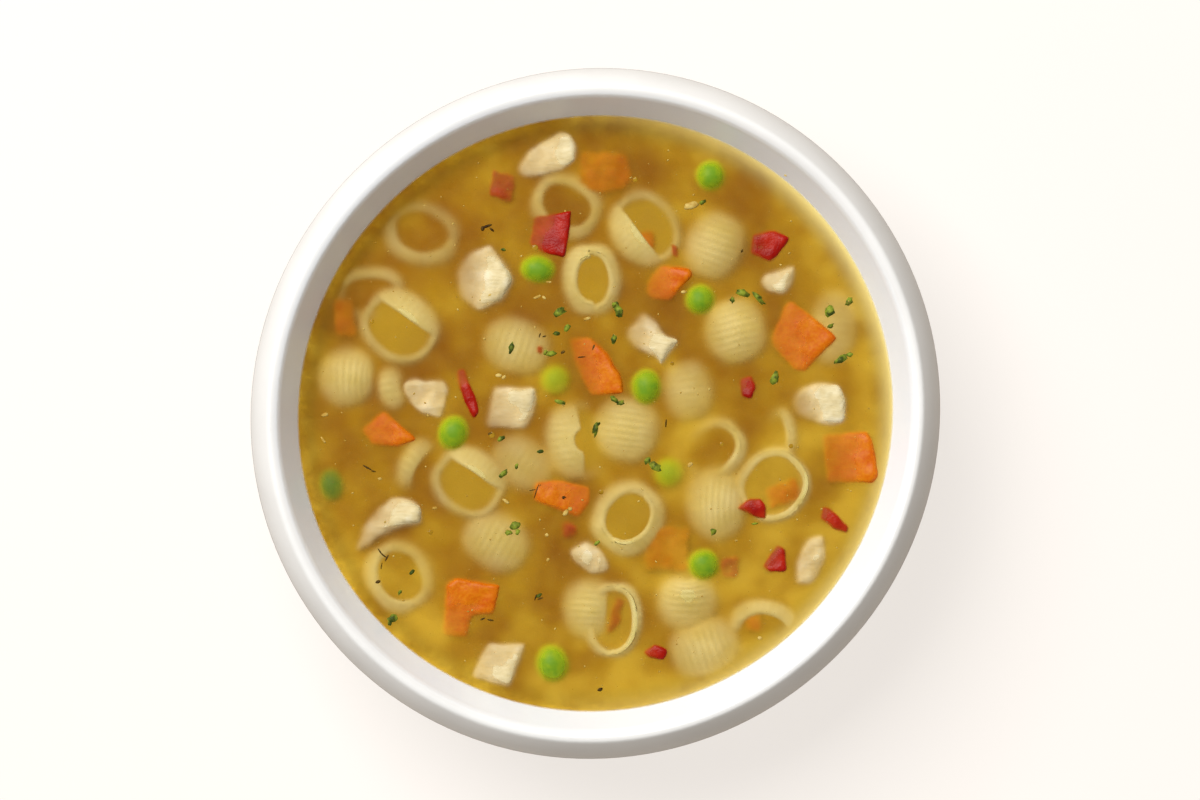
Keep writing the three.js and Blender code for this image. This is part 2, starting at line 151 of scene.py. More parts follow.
# %% Node helpers
class Finish:
    """A material and its nodes, with helpers that return sockets."""

    def __init__(self, name):
        self.material = bpy.data.materials.new(name)
        self.material.use_nodes = True
        self.tree = self.material.node_tree
        self.shader = self.tree.nodes["Principled BSDF"]

    def node(self, kind, inputs=None, **settings):
        """A new node with its settings, and its inputs set or connected by name or number."""
        made = self.tree.nodes.new(kind)
        for key, value in settings.items():
            setattr(made, key, value)
        for key, value in (inputs or {}).items():
            self.link(value, made.inputs[key])
        return made

    def link(self, source, target):
        if isinstance(source, bpy.types.NodeSocket):
            self.tree.links.new(source, target)
        else:
            target.default_value = source

    def give(self, name, value):
        """Sets a socket of the shader, or connects it."""
        self.link(value, self.shader.inputs[name])

    def maths(self, operation, first, second=0.0, third=0.5, clamp=False):
        inputs = {0: first, 1: second, 2: third}
        return self.node("ShaderNodeMath", inputs, operation=operation, use_clamp=clamp).outputs[0]

    def vectors(self, operation, first, second=(0, 0, 0)):
        inputs = {0: first, 1: second}
        return self.node("ShaderNodeVectorMath", inputs, operation=operation).outputs["Value"]

    def place(self):
        return self.node("ShaderNodeTexCoord").outputs["Object"]

    def along(self, axis, vector=None):
        """One coordinate of a vector, or of the place where nothing else is given."""
        return self.node("ShaderNodeSeparateXYZ", {0: vector or self.place()}).outputs[axis]

    def moved(self, place, scale=(1, 1, 1), turn=(0, 0, 0)):
        inputs = {"Vector": place, "Scale": scale, "Rotation": turn}
        return self.node("ShaderNodeMapping", inputs).outputs[0]

    def noise(self, place, size_mm, detail=3.0, roughness=0.5):
        inputs = {"Vector": place, "Scale": 1 / (size_mm * MM), "Detail": detail}
        inputs["Roughness"] = roughness
        return self.node("ShaderNodeTexNoise", inputs).outputs["Fac"]

    def ramp(self, factor, *stops):
        made = self.node("ShaderNodeValToRGB", {"Fac": factor})
        elements = made.color_ramp.elements
        while len(elements) < len(stops):
            elements.new(0.5)
        for element, (position, colour) in zip(elements, stops):
            element.position = position
            element.color = colour
        return made.outputs["Color"]

    def mix(self, factor, first, second, blend="MIX"):
        inputs = {0: factor, 6: first, 7: second}
        return self.node("ShaderNodeMix", inputs, data_type="RGBA", blend_type=blend).outputs[2]

    def bump(self, height, distance_mm):
        inputs = {"Height": height, "Distance": distance_mm * MM, "Strength": 1.0}
        return self.node("ShaderNodeBump", inputs).outputs["Normal"]


def paint(red, green, blue):
    """A colour given as on a screen, 0 to 255, as the linear values that shaders use."""
    return (*((part / 255) ** 2.2 for part in (red, green, blue)), 1.0)


def grey(value):
    return (value, value, value, 1.0)


print(f"half of full brightness on a screen is {paint(128, 128, 128)[0]:.2f} in light")

# %% [markdown]
# ## The floor
# The floor is plain and almost white. A little light of its own keeps the shadow of the bowl
# pale, as it is on a studio table that is lit from below as well. The bowl gets less of that
# light, and a warmer one, or its underside and the far slope of its collar would be as bright as
# their lit sides.

# %% Floor
FLOOR_GLOW = (0.74, 0.703, 0.666, 1)
FLOOR_BOUNCE = (0.32, 0.26, 0.2, 1)  # as the bowl receives it
FLOOR_DROP = 0.2  # just under the foot, so that two faces never share one place


def floor_finish():
    finish = Finish("studio_floor")
    cloud = finish.noise(finish.place(), 400, detail=2)
    colour = finish.ramp(cloud, (0.3, (0.25, 0.24, 0.23, 1)), (0.7, (0.27, 0.26, 0.25, 1)))
    finish.give("Base Color", colour)
    finish.give("Roughness", 0.9)
    seen = finish.node("ShaderNodeLightPath").outputs["Is Camera Ray"]
    finish.give("Emission Color", finish.mix(seen, FLOOR_BOUNCE, FLOOR_GLOW))
    finish.give("Emission Strength", 1.0)
    return finish.material


floor_shape = bmesh.new()
bmesh.ops.create_grid(floor_shape, x_segments=1, y_segments=1, size=4.0)
floor_mesh = bpy.data.meshes.new("floor")
floor_shape.to_mesh(floor_mesh)
floor_shape.free()
floor_mesh.materials.append(floor_finish())
floor = bpy.data.objects.new("floor", floor_mesh)
floor.location.z = -FLOOR_DROP * MM
scene.collection.objects.link(floor)
sized("floor")

# %% [markdown]
# ## The cloudy broth, as a colour and as a veil
# Broth is full of fine fat and starch, so a piece fades within a few millimetres of depth. A true
# scattering volume would show this but is slow and noisy, and an exported model loses it. Instead,
# every finish is mixed towards the colour of the broth by its depth under the level, slowly at
# first and then by the usual exponential law. The broth's colour, with painted light and shade in
# it, is one shared node group, so that a sunken piece fades into exactly the colour that lies
# beside it.

# %% The colour of the broth
PATCH_SIZE = 17  # the broth drifts in patches of about this size
PATCH_CONTRAST = 2.5
PALE_EDGE = 12.0  # near the wall the broth is thin and looks paler, and it is painted lighter there as painted light thrown back by the white wall
SHORE_LINE = 5.0  # and over the last few millimetres the white wall shines through, painted stronger on the lit side as painted light
SHADE_START = 0.65  # on the lamp's side the wall's shade begins at this share of the radius


def make_broth_tint():
    """A node group with the colour of the broth, painted light and shade included, and how deep it
    lies in the wall's shade.
    """
    tree = bpy.data.node_groups.new("broth_tint", "ShaderNodeTree")
    for name, kind in (("Color", "NodeSocketColor"), ("Shade", "NodeSocketFloat")):
        tree.interface.new_socket(name, in_out="OUTPUT", socket_type=kind)
    helper = Finish.__new__(Finish)
    helper.tree = tree
    reach = SOUP_RADIUS * MM
    flat = helper.moved(helper.place(), scale=(1, 1, 0))
    # Painted light and shade: the broth is painted darker towards the upper left, in the shade of
    # the wall, and lighter towards the lower right, where the lit wall brightens it.
    across = helper.maths("SUBTRACT", helper.along("X"), helper.along("Y"))
    lean = helper.maths("MULTIPLY_ADD", across, 0.19 / reach, 0.44)
    patches = helper.noise(flat, PATCH_SIZE, roughness=0.6)
    spread = helper.maths("MULTIPLY_ADD", patches, PATCH_CONTRAST, -PATCH_CONTRAST / 2)
    radius = helper.vectors("LENGTH", flat)
    # Painted light: the broth is painted paler towards the wall, partly because it is thin there
    # and partly for the light that the white wall throws back.
    edge = helper.maths("SUBTRACT", radius, (SOUP_RADIUS - PALE_EDGE) * MM)
    paler = helper.maths("MULTIPLY", helper.maths("MAXIMUM", edge, 0.0), 0.4 / (PALE_EDGE * MM))
    colour = helper.ramp(
        helper.maths("ADD", helper.maths("ADD", lean, spread), paler),
        (0.0, paint(130, 84, 14)),
        (0.3, paint(144, 101, 17)),
        (0.6, paint(160, 121, 24)),
        (1.0, paint(188, 154, 46)),
    )
    grain = helper.noise(flat, 1.1, detail=2, roughness=0.6)
    speckle = helper.ramp(grain, (0.35, (0.9, 0.9, 0.88, 1)), (0.7, (1.12, 1.12, 1.15, 1)))
    cloudy = helper.mix(1.0, colour, speckle, "MULTIPLY")
    last = helper.maths("SUBTRACT", radius, (SOUP_RADIUS - SHORE_LINE) * MM)
    thin = helper.maths("MULTIPLY", helper.maths("MAXIMUM", last, 0.0), 1 / (SHORE_LINE * MM),
                        clamp=True)
    # Painted light: the shore wash is strongest on the right, where the lamp lights the wall, and
    # gone on the left, in its shade.
    lit_side = helper.maths("MULTIPLY_ADD", helper.along("X"), 1.1 / reach, 0.15, clamp=True)
    wash = helper.maths("MULTIPLY", helper.maths("POWER", thin, 1.5), lit_side)
    out = tree.nodes.new("NodeGroupOutput")
    helper.link(helper.mix(wash, cloudy, paint(214, 198, 130)), out.inputs["Color"])
    side, band = math.radians(LAMP_SIDE), 1 - SHADE_START
    towards = helper.vectors("DOT_PRODUCT", flat, (math.cos(side), math.sin(side), 0))
    near = helper.maths("MULTIPLY_ADD", towards, 1 / (band * reach), -SHADE_START / band,
                        clamp=True)
    helper.link(helper.maths("POWER", near, 1.5), out.inputs["Shade"])
    return tree


broth_tint = make_broth_tint()
print(f"the broth's colour takes {len(broth_tint.nodes)} nodes")

# %% The veil that deepens with depth
FADE_DEPTH = 2.2
FADE_START = 0.4  # how far above the level the haze begins, where food is still wet
FADE_POWER = 1.5
WET_SHINE = 0.15  # wet food has little shine of its own, because the broth on it bends light alike
FLANK_GLOW = 0.5
GLOW_DEPTH = 0.9


def finish_in_broth(finish, colour, roughness, normal=None, fade=FADE_DEPTH):
    """Connects a colour, roughness and normal to the shader, each fading with depth.

    Cloudy broth lights what lies in it from all sides, so steep flanks get a glow of their own."""
    facing = finish.node("ShaderNodeNewGeometry").outputs["Normal"]
    depth = finish.maths("SUBTRACT", (SOUP_LEVEL + FADE_START) * MM, finish.along("Z"))
    share = finish.maths("MULTIPLY", finish.maths("MAXIMUM", depth, 0.0), 1 / (fade * MM))
    thickening = finish.maths("MULTIPLY", finish.maths("POWER", share, FADE_POWER), -1.0)
    veil = finish.maths("SUBTRACT", 1.0, finish.maths("EXPONENT", thickening))
    tint = finish.node("ShaderNodeGroup", node_tree=broth_tint)
    veiled = finish.mix(veil, colour, tint.outputs["Color"])
    finish.give("Base Color", veiled)
    finish.give("Emission Color", veiled)
    upwards = finish.maths("ABSOLUTE", finish.along("Z", facing))
    steep = finish.maths("SUBTRACT", 1.0, upwards)
    under = finish.maths("MULTIPLY", depth, 1 / (GLOW_DEPTH * MM), clamp=True)
    glow = finish.maths("MULTIPLY", finish.maths("MULTIPLY", steep, under), FLANK_GLOW)
    finish.give("Emission Strength", glow)
    finish.material.cycles.emission_sampling = "NONE"
    matte = finish.maths("MULTIPLY_ADD", veil, 0.9, roughness)
    finish.give("Roughness", matte)
    finish.give("Specular IOR Level", WET_SHINE)
    inputs = {0: veil, 4: normal or facing, 5: (0, 0, 1)}
    finish.give("Normal", finish.node("ShaderNodeMix", inputs, data_type="VECTOR").outputs[1])


for depth in (1, 2, 4):
    left = math.exp(-(((depth + FADE_START) / FADE_DEPTH) ** FADE_POWER))
    print(f"{depth} mm down, {100 * left:.0f} % of a piece's own colour is left")

# %% [markdown]
# ## The bowl
# A bowl is thrown on a wheel, so its shape is one outline turned about the upright axis: in
# Blender, a line of vertices and the spin operator. The outline has a foot ring, a deep belly, a
# thick collar and a rounded crest, and curves with few named points keep it smooth. A thrown bowl
# is never quite round, so this one is drawn out a little along one direction.

# %% Outline helpers
FLOOR_HEIGHT = 8.5
OVAL = 0.009
OVAL_TURN = math.radians(48)


def bezier(points, steps):
    """Points along a Bezier curve with any number of controls, without the first."""
    made = []
    for step in range(1, steps + 1):
        share = step / steps
        level = [Vector(point) for point in points]
        while len(level) > 1:
            level = [a.lerp(b, share) for a, b in zip(level, level[1:])]
        made.append(tuple(level[0]))
    return made


def inside_wall(margin, steps):
    """The bowl's inner face from the soup's level down to the middle, moved in by a margin."""
    return bezier(
        [
            (SOUP_RADIUS - margin, SOUP_LEVEL),
            (SOUP_RADIUS - 6.6 - margin, SOUP_LEVEL - 14.5),
            (SOUP_RADIUS * 0.83, FLOOR_HEIGHT + margin),
            (0, FLOOR_HEIGHT + margin),
        ],
        steps,
    )


def spun(outline, steps):
    """An outline of (radius, height) points turned into a closed body, slightly oval."""
    shape = bmesh.new()
    line = [shape.verts.new((radius, 0, height)) for radius, height in outline]
    for first, second in zip(line, line[1:]):
        shape.edges.new((first, second))
    bmesh.ops.spin(
        shape, geom=shape.verts[:] + shape.edges[:], axis=(0, 0, 1), cent=(0, 0, 0),
        angle=2 * math.pi, steps=steps, use_merge=True,
    )
    bmesh.ops.remove_doubles(shape, verts=shape.verts, dist=0.001)
    bmesh.ops.recalc_face_normals(shape, faces=shape.faces)
    turn = Matrix.Rotation(OVAL_TURN, 4, "Z")
    oval = turn @ Matrix.Diagonal((1 + OVAL, 1 - OVAL, 1, 1)) @ turn.inverted()
    bmesh.ops.transform(shape, matrix=oval, verts=shape.verts)
    return shape


print(f"the bowl is drawn out by {2 * OVAL * SOUP_RADIUS:.1f} mm")

# %% Glaze
CREST_RADIUS = 83.7
INNER_LIGHT_WIDTH = 2.0  # from the crest inwards, the painted light on the inner wall grows over this width
GLAZE_FADE = 1.1


def glaze(name, veiled):
    """The glaze is one colour, and its inner wall above the broth is painted whiter and cooler, as
    painted light.
    """
    finish = Finish(name)
    place = finish.place()
    cloud = finish.noise(place, 18)
    # The glaze's own colour, the same all over the bowl.
    thin = finish.ramp(cloud, (0.3, paint(230, 231, 231)), (0.7, paint(237, 238, 238)))
    radius = finish.vectors("LENGTH", finish.moved(place, scale=(1, 1, 0)))
    inwards = finish.maths("MULTIPLY_ADD", radius, -1 / (INNER_LIGHT_WIDTH * MM),
                           CREST_RADIUS / INNER_LIGHT_WIDTH, clamp=True)
    upper = finish.maths("MULTIPLY_ADD", finish.along("Z"), 1 / MM, 1 - SOUP_LEVEL, clamp=True)
    # Painted light: the inner wall above the broth is painted whiter and cooler, so that it stands
    # brighter than the outer slopes.
    painted_light_inside = finish.maths("MULTIPLY", inwards, upper)
    colour = finish.mix(painted_light_inside, thin, paint(243, 248, 255))
    speck = finish.noise(place, 0.9, detail=2)
    dimple = finish.bump(finish.noise(place, 6, detail=2), 0.05)
    roughness = finish.maths("MULTIPLY_ADD", speck, 0.08, 0.2)
    if veiled:
        finish_in_broth(finish, colour, roughness, dimple, fade=GLAZE_FADE)
    else:
        finish.give("Base Color", colour)
        finish.give("Roughness", roughness)
        finish.give("Normal", dimple)
    return finish.material


white_glaze = glaze("white_glaze", veiled=False)
glaze_in_broth = glaze("glaze_in_broth", veiled=True)
print(f"{white_glaze.name} above the broth, {glaze_in_broth.name} under it")

# %% Bowl
FOOT_RADIUS = 45.0
FOOT_INSIDE = 38.5
COLLAR_RADIUS = 89.9
COLLAR_EDGE = 48.4
COLLAR_UNDER = COLLAR_EDGE - 4.2
outline = [(0, 3), (FOOT_INSIDE - 1.2, 3), (FOOT_INSIDE - 0.4, 2.4), (FOOT_INSIDE, 0.5)]
outline += [(FOOT_INSIDE + 0.5, 0), (FOOT_RADIUS - 1.2, 0), (FOOT_RADIUS - 0.3, 0.5)]
outline += [(FOOT_RADIUS, 1.5), (FOOT_RADIUS + 0.1, 4.8)]
outline += bezier([outline[-1], (61, 8.3), (77, 25), (COLLAR_RADIUS - 7.2, COLLAR_UNDER - 1)], 22)
outline += bezier(
    [outline[-1], (COLLAR_RADIUS - 0.6, COLLAR_UNDER), (COLLAR_RADIUS, COLLAR_EDGE)], 9
)
shoulder = (COLLAR_RADIUS - 1.8, RIM_HEIGHT - 3.9)
outline += bezier([outline[-1], shoulder, (CREST_RADIUS + 1.2, RIM_HEIGHT - 0.2)], 12)
outline += bezier(
    [outline[-1], (CREST_RADIUS, RIM_HEIGHT + 0.35), (CREST_RADIUS - 1.4, RIM_HEIGHT - 0.8)], 7
)
outline += bezier([outline[-1], (SOUP_RADIUS, SOUP_LEVEL)], 6)
outline += inside_wall(0, 26)
bowl_shape = spun(outline, 160)
for face in bowl_shape.faces:
    middle = face.calc_center_median()
    low = middle.z < SOUP_LEVEL and middle.z > FLOOR_HEIGHT - 0.5
    face.material_index = 1 if low and face.normal.z > 0 else 0
bowl = add_piece("soup_bowl", bowl_shape, [white_glaze, glaze_in_broth], "stoneware", ["bowl"])
sized("soup_bowl")

# %% [markdown]
# ## The broth
# The broth is made as two bodies. The lower one is opaque and is what the eye meets at the
# bottom of the haze, a few millimetres down. The upper one is a layer from there up to the level.
# It lets the light in unhindered and blurs what is seen through it, the more the deeper that
# lies, and its face reflects more at a grazing look, as a liquid does. Its edge climbs the wall a
# little, because a liquid does that too.

# %% Finish of the cloudy body
SHADE_GLOW = 0.35  # light that reaches the broth in the shade of the wall through the broth itself
PASTA_BELOW = 0.75  # how much, at most, the pasta under it colours the broth in an open shell


def cloudy_finish():
    finish = Finish("cloudy_broth")
    tint = finish.node("ShaderNodeGroup", node_tree=broth_tint)
    cup = finish.node("ShaderNodeAttribute", attribute_name="cup").outputs["Fac"]
    over_pasta = finish.maths("MINIMUM", finish.maths("MULTIPLY", cup, 2.2), PASTA_BELOW)
    colour = finish.mix(over_pasta, tint.outputs["Color"], paint(172, 139, 39))
    finish.give("Base Color", colour)
    finish.give("Emission Color", colour)
    glow = finish.maths("MULTIPLY", tint.outputs["Shade"], SHADE_GLOW)
    finish.give("Emission Strength", glow)
    finish.material.cycles.emission_sampling = "NONE"
    drift = finish.noise(finish.moved(finish.place(), scale=(1, 1, 0)), 5, detail=2)
    finish.give("Roughness", finish.maths("MULTIPLY_ADD", drift, 0.1, 0.85))
    finish.give("Normal", finish.node("ShaderNodeCombineXYZ", {"Z": 1.0}).outputs[0])
    finish.give("Specular IOR Level", WET_SHINE)
    return finish.material


cloudy_broth = cloudy_finish()
print(f"{cloudy_broth.name}: {len(cloudy_broth.node_tree.nodes)} nodes")

# %% Finish of the clear layer
HAZE_LEAST = 0.04  # how much of the surface itself is cloudy
HAZE_MOST = 0.15
BLUR_IOR = 3.0  # together with the roughness, how strongly what lies under it is blurred
WATER_IOR = 1.33
PASSING = (1.0, 0.99, 0.96, 1)  # the colour of the light that the layer lets through


def clear_finish():
    finish = Finish("clear_broth")
    output = finish.tree.nodes["Material Output"]
    ripple = finish.noise(finish.place(), 9, detail=1.5)
    tint = finish.node("ShaderNodeGroup", node_tree=broth_tint)
    pale = finish.mix(0.25, tint.outputs["Color"], paint(226, 204, 120))
    finish.give("Base Color", pale)
    finish.give("Normal", finish.bump(ripple, 0.12))
    gloss = finish.ramp(ripple, (0.3, grey(0.04)), (0.7, grey(0.09)))
    finish.give("Roughness", gloss)
    cloud = finish.ramp(ripple, (0.3, grey(0.58)), (0.7, grey(0.68)))
    inputs = {"Color": PASSING, "IOR": BLUR_IOR, "Roughness": cloud}
    blurred = finish.node("ShaderNodeBsdfRefraction", inputs).outputs[0]
    straight = finish.node("ShaderNodeBsdfTransparent", {"Color": PASSING}).outputs[0]
    seen = finish.node("ShaderNodeLightPath").outputs["Is Camera Ray"]
    through = finish.node("ShaderNodeMixShader", {0: seen, 1: straight, 2: blurred}).outputs[0]
    fresnel = finish.node("ShaderNodeFresnel", {"IOR": WATER_IOR}).outputs[0]
    flat = finish.moved(finish.place(), scale=(1, 1, 0))
    wisps = finish.noise(flat, 4, detail=5, roughness=0.7)
    haze = finish.ramp(wisps, (0.36, grey(HAZE_LEAST)), (0.72, grey(HAZE_MOST)))
    share = finish.maths("MAXIMUM", fresnel, haze)
    inputs = {0: share, 1: through, 2: finish.shader.outputs[0]}
    blend = finish.node("ShaderNodeMixShader", inputs)
    finish.link(blend.outputs[0], output.inputs["Surface"])
    return finish.material


clear_broth = clear_finish()
print(f"{clear_broth.name}: {len(clear_broth.node_tree.nodes)} nodes")

# %% Broth bodies
CORE_DEPTH = 5.0
CORE_SWELL = 0.9  # the lower body rises and falls by this much
SHORE = 6.0  # over this distance from the wall the lower body comes up to the level
core_top = SOUP_LEVEL - CORE_DEPTH
wall = inside_wall(-0.15, 60)
core_outline = [(0, core_top)]
core_outline += [(radius, core_top) for radius in range(2, 71, 2)]
SHORE_STEPS = 12
for step in range(1, SHORE_STEPS + 1):
    share = step / SHORE_STEPS
    core_outline.append((
        SOUP_RADIUS - SHORE * (1 - share) - 0.1,
        core_top + (CORE_DEPTH - 0.15) * share * share * (3 - 2 * share),
    ))
core_outline += wall
core_shape = spun(core_outline, 180)
for vert in core_shape.verts:
    inland = SOUP_RADIUS - SHORE - vert.co.xy.length
    if vert.co.z > core_top - 0.01 and inland > 0:
        vert.co.z += CORE_SWELL * min(1, inland / 4) * noise.noise(vert.co * 0.09)
core = add_piece("broth_depths", core_shape, [cloudy_broth], "broth", ["broth"])
sized("broth_depths")

# %% The layer over it
layer_floor = core_top - 2.5
layer_outline = [(0, SOUP_LEVEL)]
layer_outline += [(point, SOUP_LEVEL) for point in (20, 40, 60, 70, 75)]
layer_outline += [(SOUP_RADIUS - 1.0, SOUP_LEVEL + 0.03), (SOUP_RADIUS - 0.3, SOUP_LEVEL + 0.12)]
layer_outline += [(SOUP_RADIUS + 0.2, SOUP_LEVEL + 0.3)]
layer_outline += [point for point in wall if point[1] > layer_floor]
layer_outline += [(layer_outline[-1][0], layer_floor), (0, layer_floor)]
add_piece("broth_surface", spun(layer_outline, 180), [clear_broth], "broth", ["broth"])
sized("broth_surface")

# %% [markdown]
# ## Pasta shells
# A shell is a sheet of dough rolled round two ways: it sweeps about its long axis and leaves a
# slot open, and it draws in at both tips. A fine grid is extruded into a slab and each vertex is
# moved to its place on that double curve. The slab's outer side carries the ridges that the
# mould cuts. The same measures as in the solid model place each shell that reaches the surface,
# only a little lower, because cooked pasta is soft and fills with broth. The others lie deeper
# and show only through the haze. A shell near the wall leans on it, so none may stand in it.

# %% Measures of the shells
PASTA_WALL = 1.6
SHELL_FLAT = 0.72
SHELL_HUB = 0.3
TIP_TURN = math.radians(105)
STRAIGHT_LIP = 0.86
RIDGE_PITCH = 1.5
RIDGE_DEPTH = 0.045
SHELL_RISE = 1.5
SETTLED = 0.6  # soft food lies this much lower than the stiff pieces of the solid model
MOUTH_SETTLED = 1.0  # and a shell that has filled with broth this much
WALL_MARGIN = 1.0
FACE_DOWN = dict(left=0.9, right=0.9, spin=180)
OPEN = dict(left=0.7, right=0.75, flat=0.5)
print(f"a ridge is {2 * RIDGE_DEPTH:.2f} mm deep on a wall of {PASTA_WALL} mm")

# %% Where the shells lie at the surface
def shell_row(at, width, length, **more):
    """The middle seen from above, the size, and what else sets this shell apart.

    left and right: how far each free edge lies from the middle of the slot, over the half width.
    spin turns the slot about the long axis, 180 being face down. nod raises the +Y tip, and turn
    is that tip's direction from +Y."""
    return dict(at=at, width=width, length=length, **more)


SHELLS = {
    "shell_01": shell_row((8.2, -4.3), 18.3, 17, **FACE_DOWN, rise=0.55, turn=-8),
    "shell_02": shell_row((8.6, -27.4), 18.6, 19, left=0.68, right=0.64, flat=0.5, spin=-3, nod=-4,
        rise=1.1, turn=-37),
    "shell_03": shell_row((-0.9, 35), 15.6, 18.6, left=0.58, right=0.7, flat=0.55, nod=4, rise=1.1,
        turn=3),
    "shell_04": shell_row((-51, 22.6), 18.6, 20, left=0.86, right=0.35, straight="right", flat=0.55,
        rise=1.2, turn=55),
    "shell_05": shell_row((-33, -18.1), 18, 19, left=0.86, right=0.35, straight="right", flat=0.55,
        rise=1.2, turn=55),
    "shell_06": shell_row((-3.6, -51), 19, 17, left=0.9, right=0.9, flat=0.95, spin=92, rise=0.9,
        turn=-2),
    "shell_07": shell_row((46.6, -18.9), 18.4, 18.8, left=0.88, right=0.88, flat=0.5, spin=-4,
        nod=3, rise=1.1, turn=-44),
    "shell_08": shell_row((31.7, -23.6), 21.5, 16.6, **FACE_DOWN, nod=14, rise=0.55, turn=-90),
    "shell_09": shell_row((-65.2, 9.5), 16.4, 15, **FACE_DOWN, nod=14, rise=0.4, turn=-92),
    "shell_10": shell_row((13, 48.1), 18, 19.4, left=0.2, right=0.88, straight="left", flat=0.55,
        rise=1.2, turn=38),
    "shell_11": shell_row((36.7, 21.4), 16.8, 16.6, **FACE_DOWN, rise=0.5, turn=15),
    "shell_12": shell_row((24.1, -50.2), 17, 16.4, **FACE_DOWN, nod=26, rise=0.8),
    "shell_13": shell_row((-4.8, -7.2), 17.2, 20, left=0.25, right=0.9, spin=14, rise=0.95, turn=7),
    "shell_14": shell_row((4.9, -53.9), 15, 19.3, left=0.85, right=0.8, flat=0.6, spin=-6, rise=1.2,
        turn=-5),
}
print(f"{len(SHELLS)} shells at the surface")

# %% Where the sunken shells lie
SUNKEN_SHELLS = [
    shell_row((-45.4, 47), 17, 19.4, **OPEN, spin=4, turn=75, rise=-1.2),
    shell_row((-58.8, 31), 15, 18, left=0.7, right=0.8, flat=0.5, spin=-12, turn=95, rise=-1.1),
    shell_row((-53.1, 6.7), 10, 11, left=0.3, right=0.9, spin=60, turn=10, rise=0.1),
    shell_row((-7.6, 54.1), 16.5, 18, **OPEN, turn=60, rise=-0.8),
    shell_row((31.2, 43.8), 16, 17.5, **FACE_DOWN, turn=-20, rise=0.2),
    shell_row((-20.5, 17.5), 15, 17.5, **FACE_DOWN, turn=70, rise=0.0),
    shell_row((24.3, 5.9), 13.5, 15.5, **FACE_DOWN, turn=10, rise=-0.6),
    shell_row((-46.8, -13.2), 12, 14, left=0.8, right=0.8, spin=70, turn=-30, rise=0.0),
    shell_row((31.2, -9.5), 16, 17, left=0.8, right=0.8, flat=0.5, spin=-14, nod=14, turn=-50,
        rise=0.5),
    shell_row((-26, -33.5), 16, 18, **FACE_DOWN, turn=60, rise=0.0),
    shell_row((-51.3, -42.8), 17.5, 18.5, **OPEN, spin=4, turn=30, rise=-0.2),
    shell_row((44.2, -57), 17, 18.5, left=0.8, right=0.7, flat=0.5, spin=-14, turn=80, rise=0.5),
    shell_row((28.8, -61.5), 17, 18.5, **FACE_DOWN, turn=-70, rise=0.3),
    shell_row((-19, -13), 14, 17, **FACE_DOWN, turn=60, rise=-0.9),
    shell_row((62.2, 22.4), 14, 19.6, **FACE_DOWN, turn=-8, rise=-1.1),
    shell_row((49.2, -4.8), 9, 12, left=0.6, right=0.9, spin=-60, turn=10, rise=0.1),
]
print(f"{len(SUNKEN_SHELLS)} shells below it")


# %% Shell shape
LIP_ROUND = 0.45
SHARP_EDGE = 0.9  # in radians, what counts as the rim of the slab
SWAY = 0.35  # how far cooking has bent the shell
SWAY_SCALE = 0.17


def moved_verts(made):
    """The vertices among what an operator returns."""
    return [item for item in made["geom"] if isinstance(item, bmesh.types.BMVert)]


def half_slot(shell, side, ring, half_width):
    """How far the wall ends from the middle of the slot, on one side.

    The lip keeps the height that it has at the middle of the mouth, and closes towards the
    tips. A straight edge runs along the shell until it meets such a lip."""
    straight = shell.get("straight") == side
    edge = STRAIGHT_LIP if straight else shell[side]
    height = min(ring, half_width * math.sqrt(1 - edge * edge))
    lip = math.sqrt(ring**2 - height**2)
    return min(lip, shell[side] * half_width) if straight else lip


def keep_inside(shape):
    """Moves inwards what would stand in the wall of the bowl: soft food leans on it."""
    profile = inside_wall(WALL_MARGIN, 60)
    for vert in shape.verts:
        reach, level = vert.co.xy.length, max(vert.co.z, FLOOR_HEIGHT + 2)
        if reach > SOUP_RADIUS * 0.75:
            limit = next(radius for radius, height in profile if height <= level)
            vert.co.xy *= min(1, limit / reach)


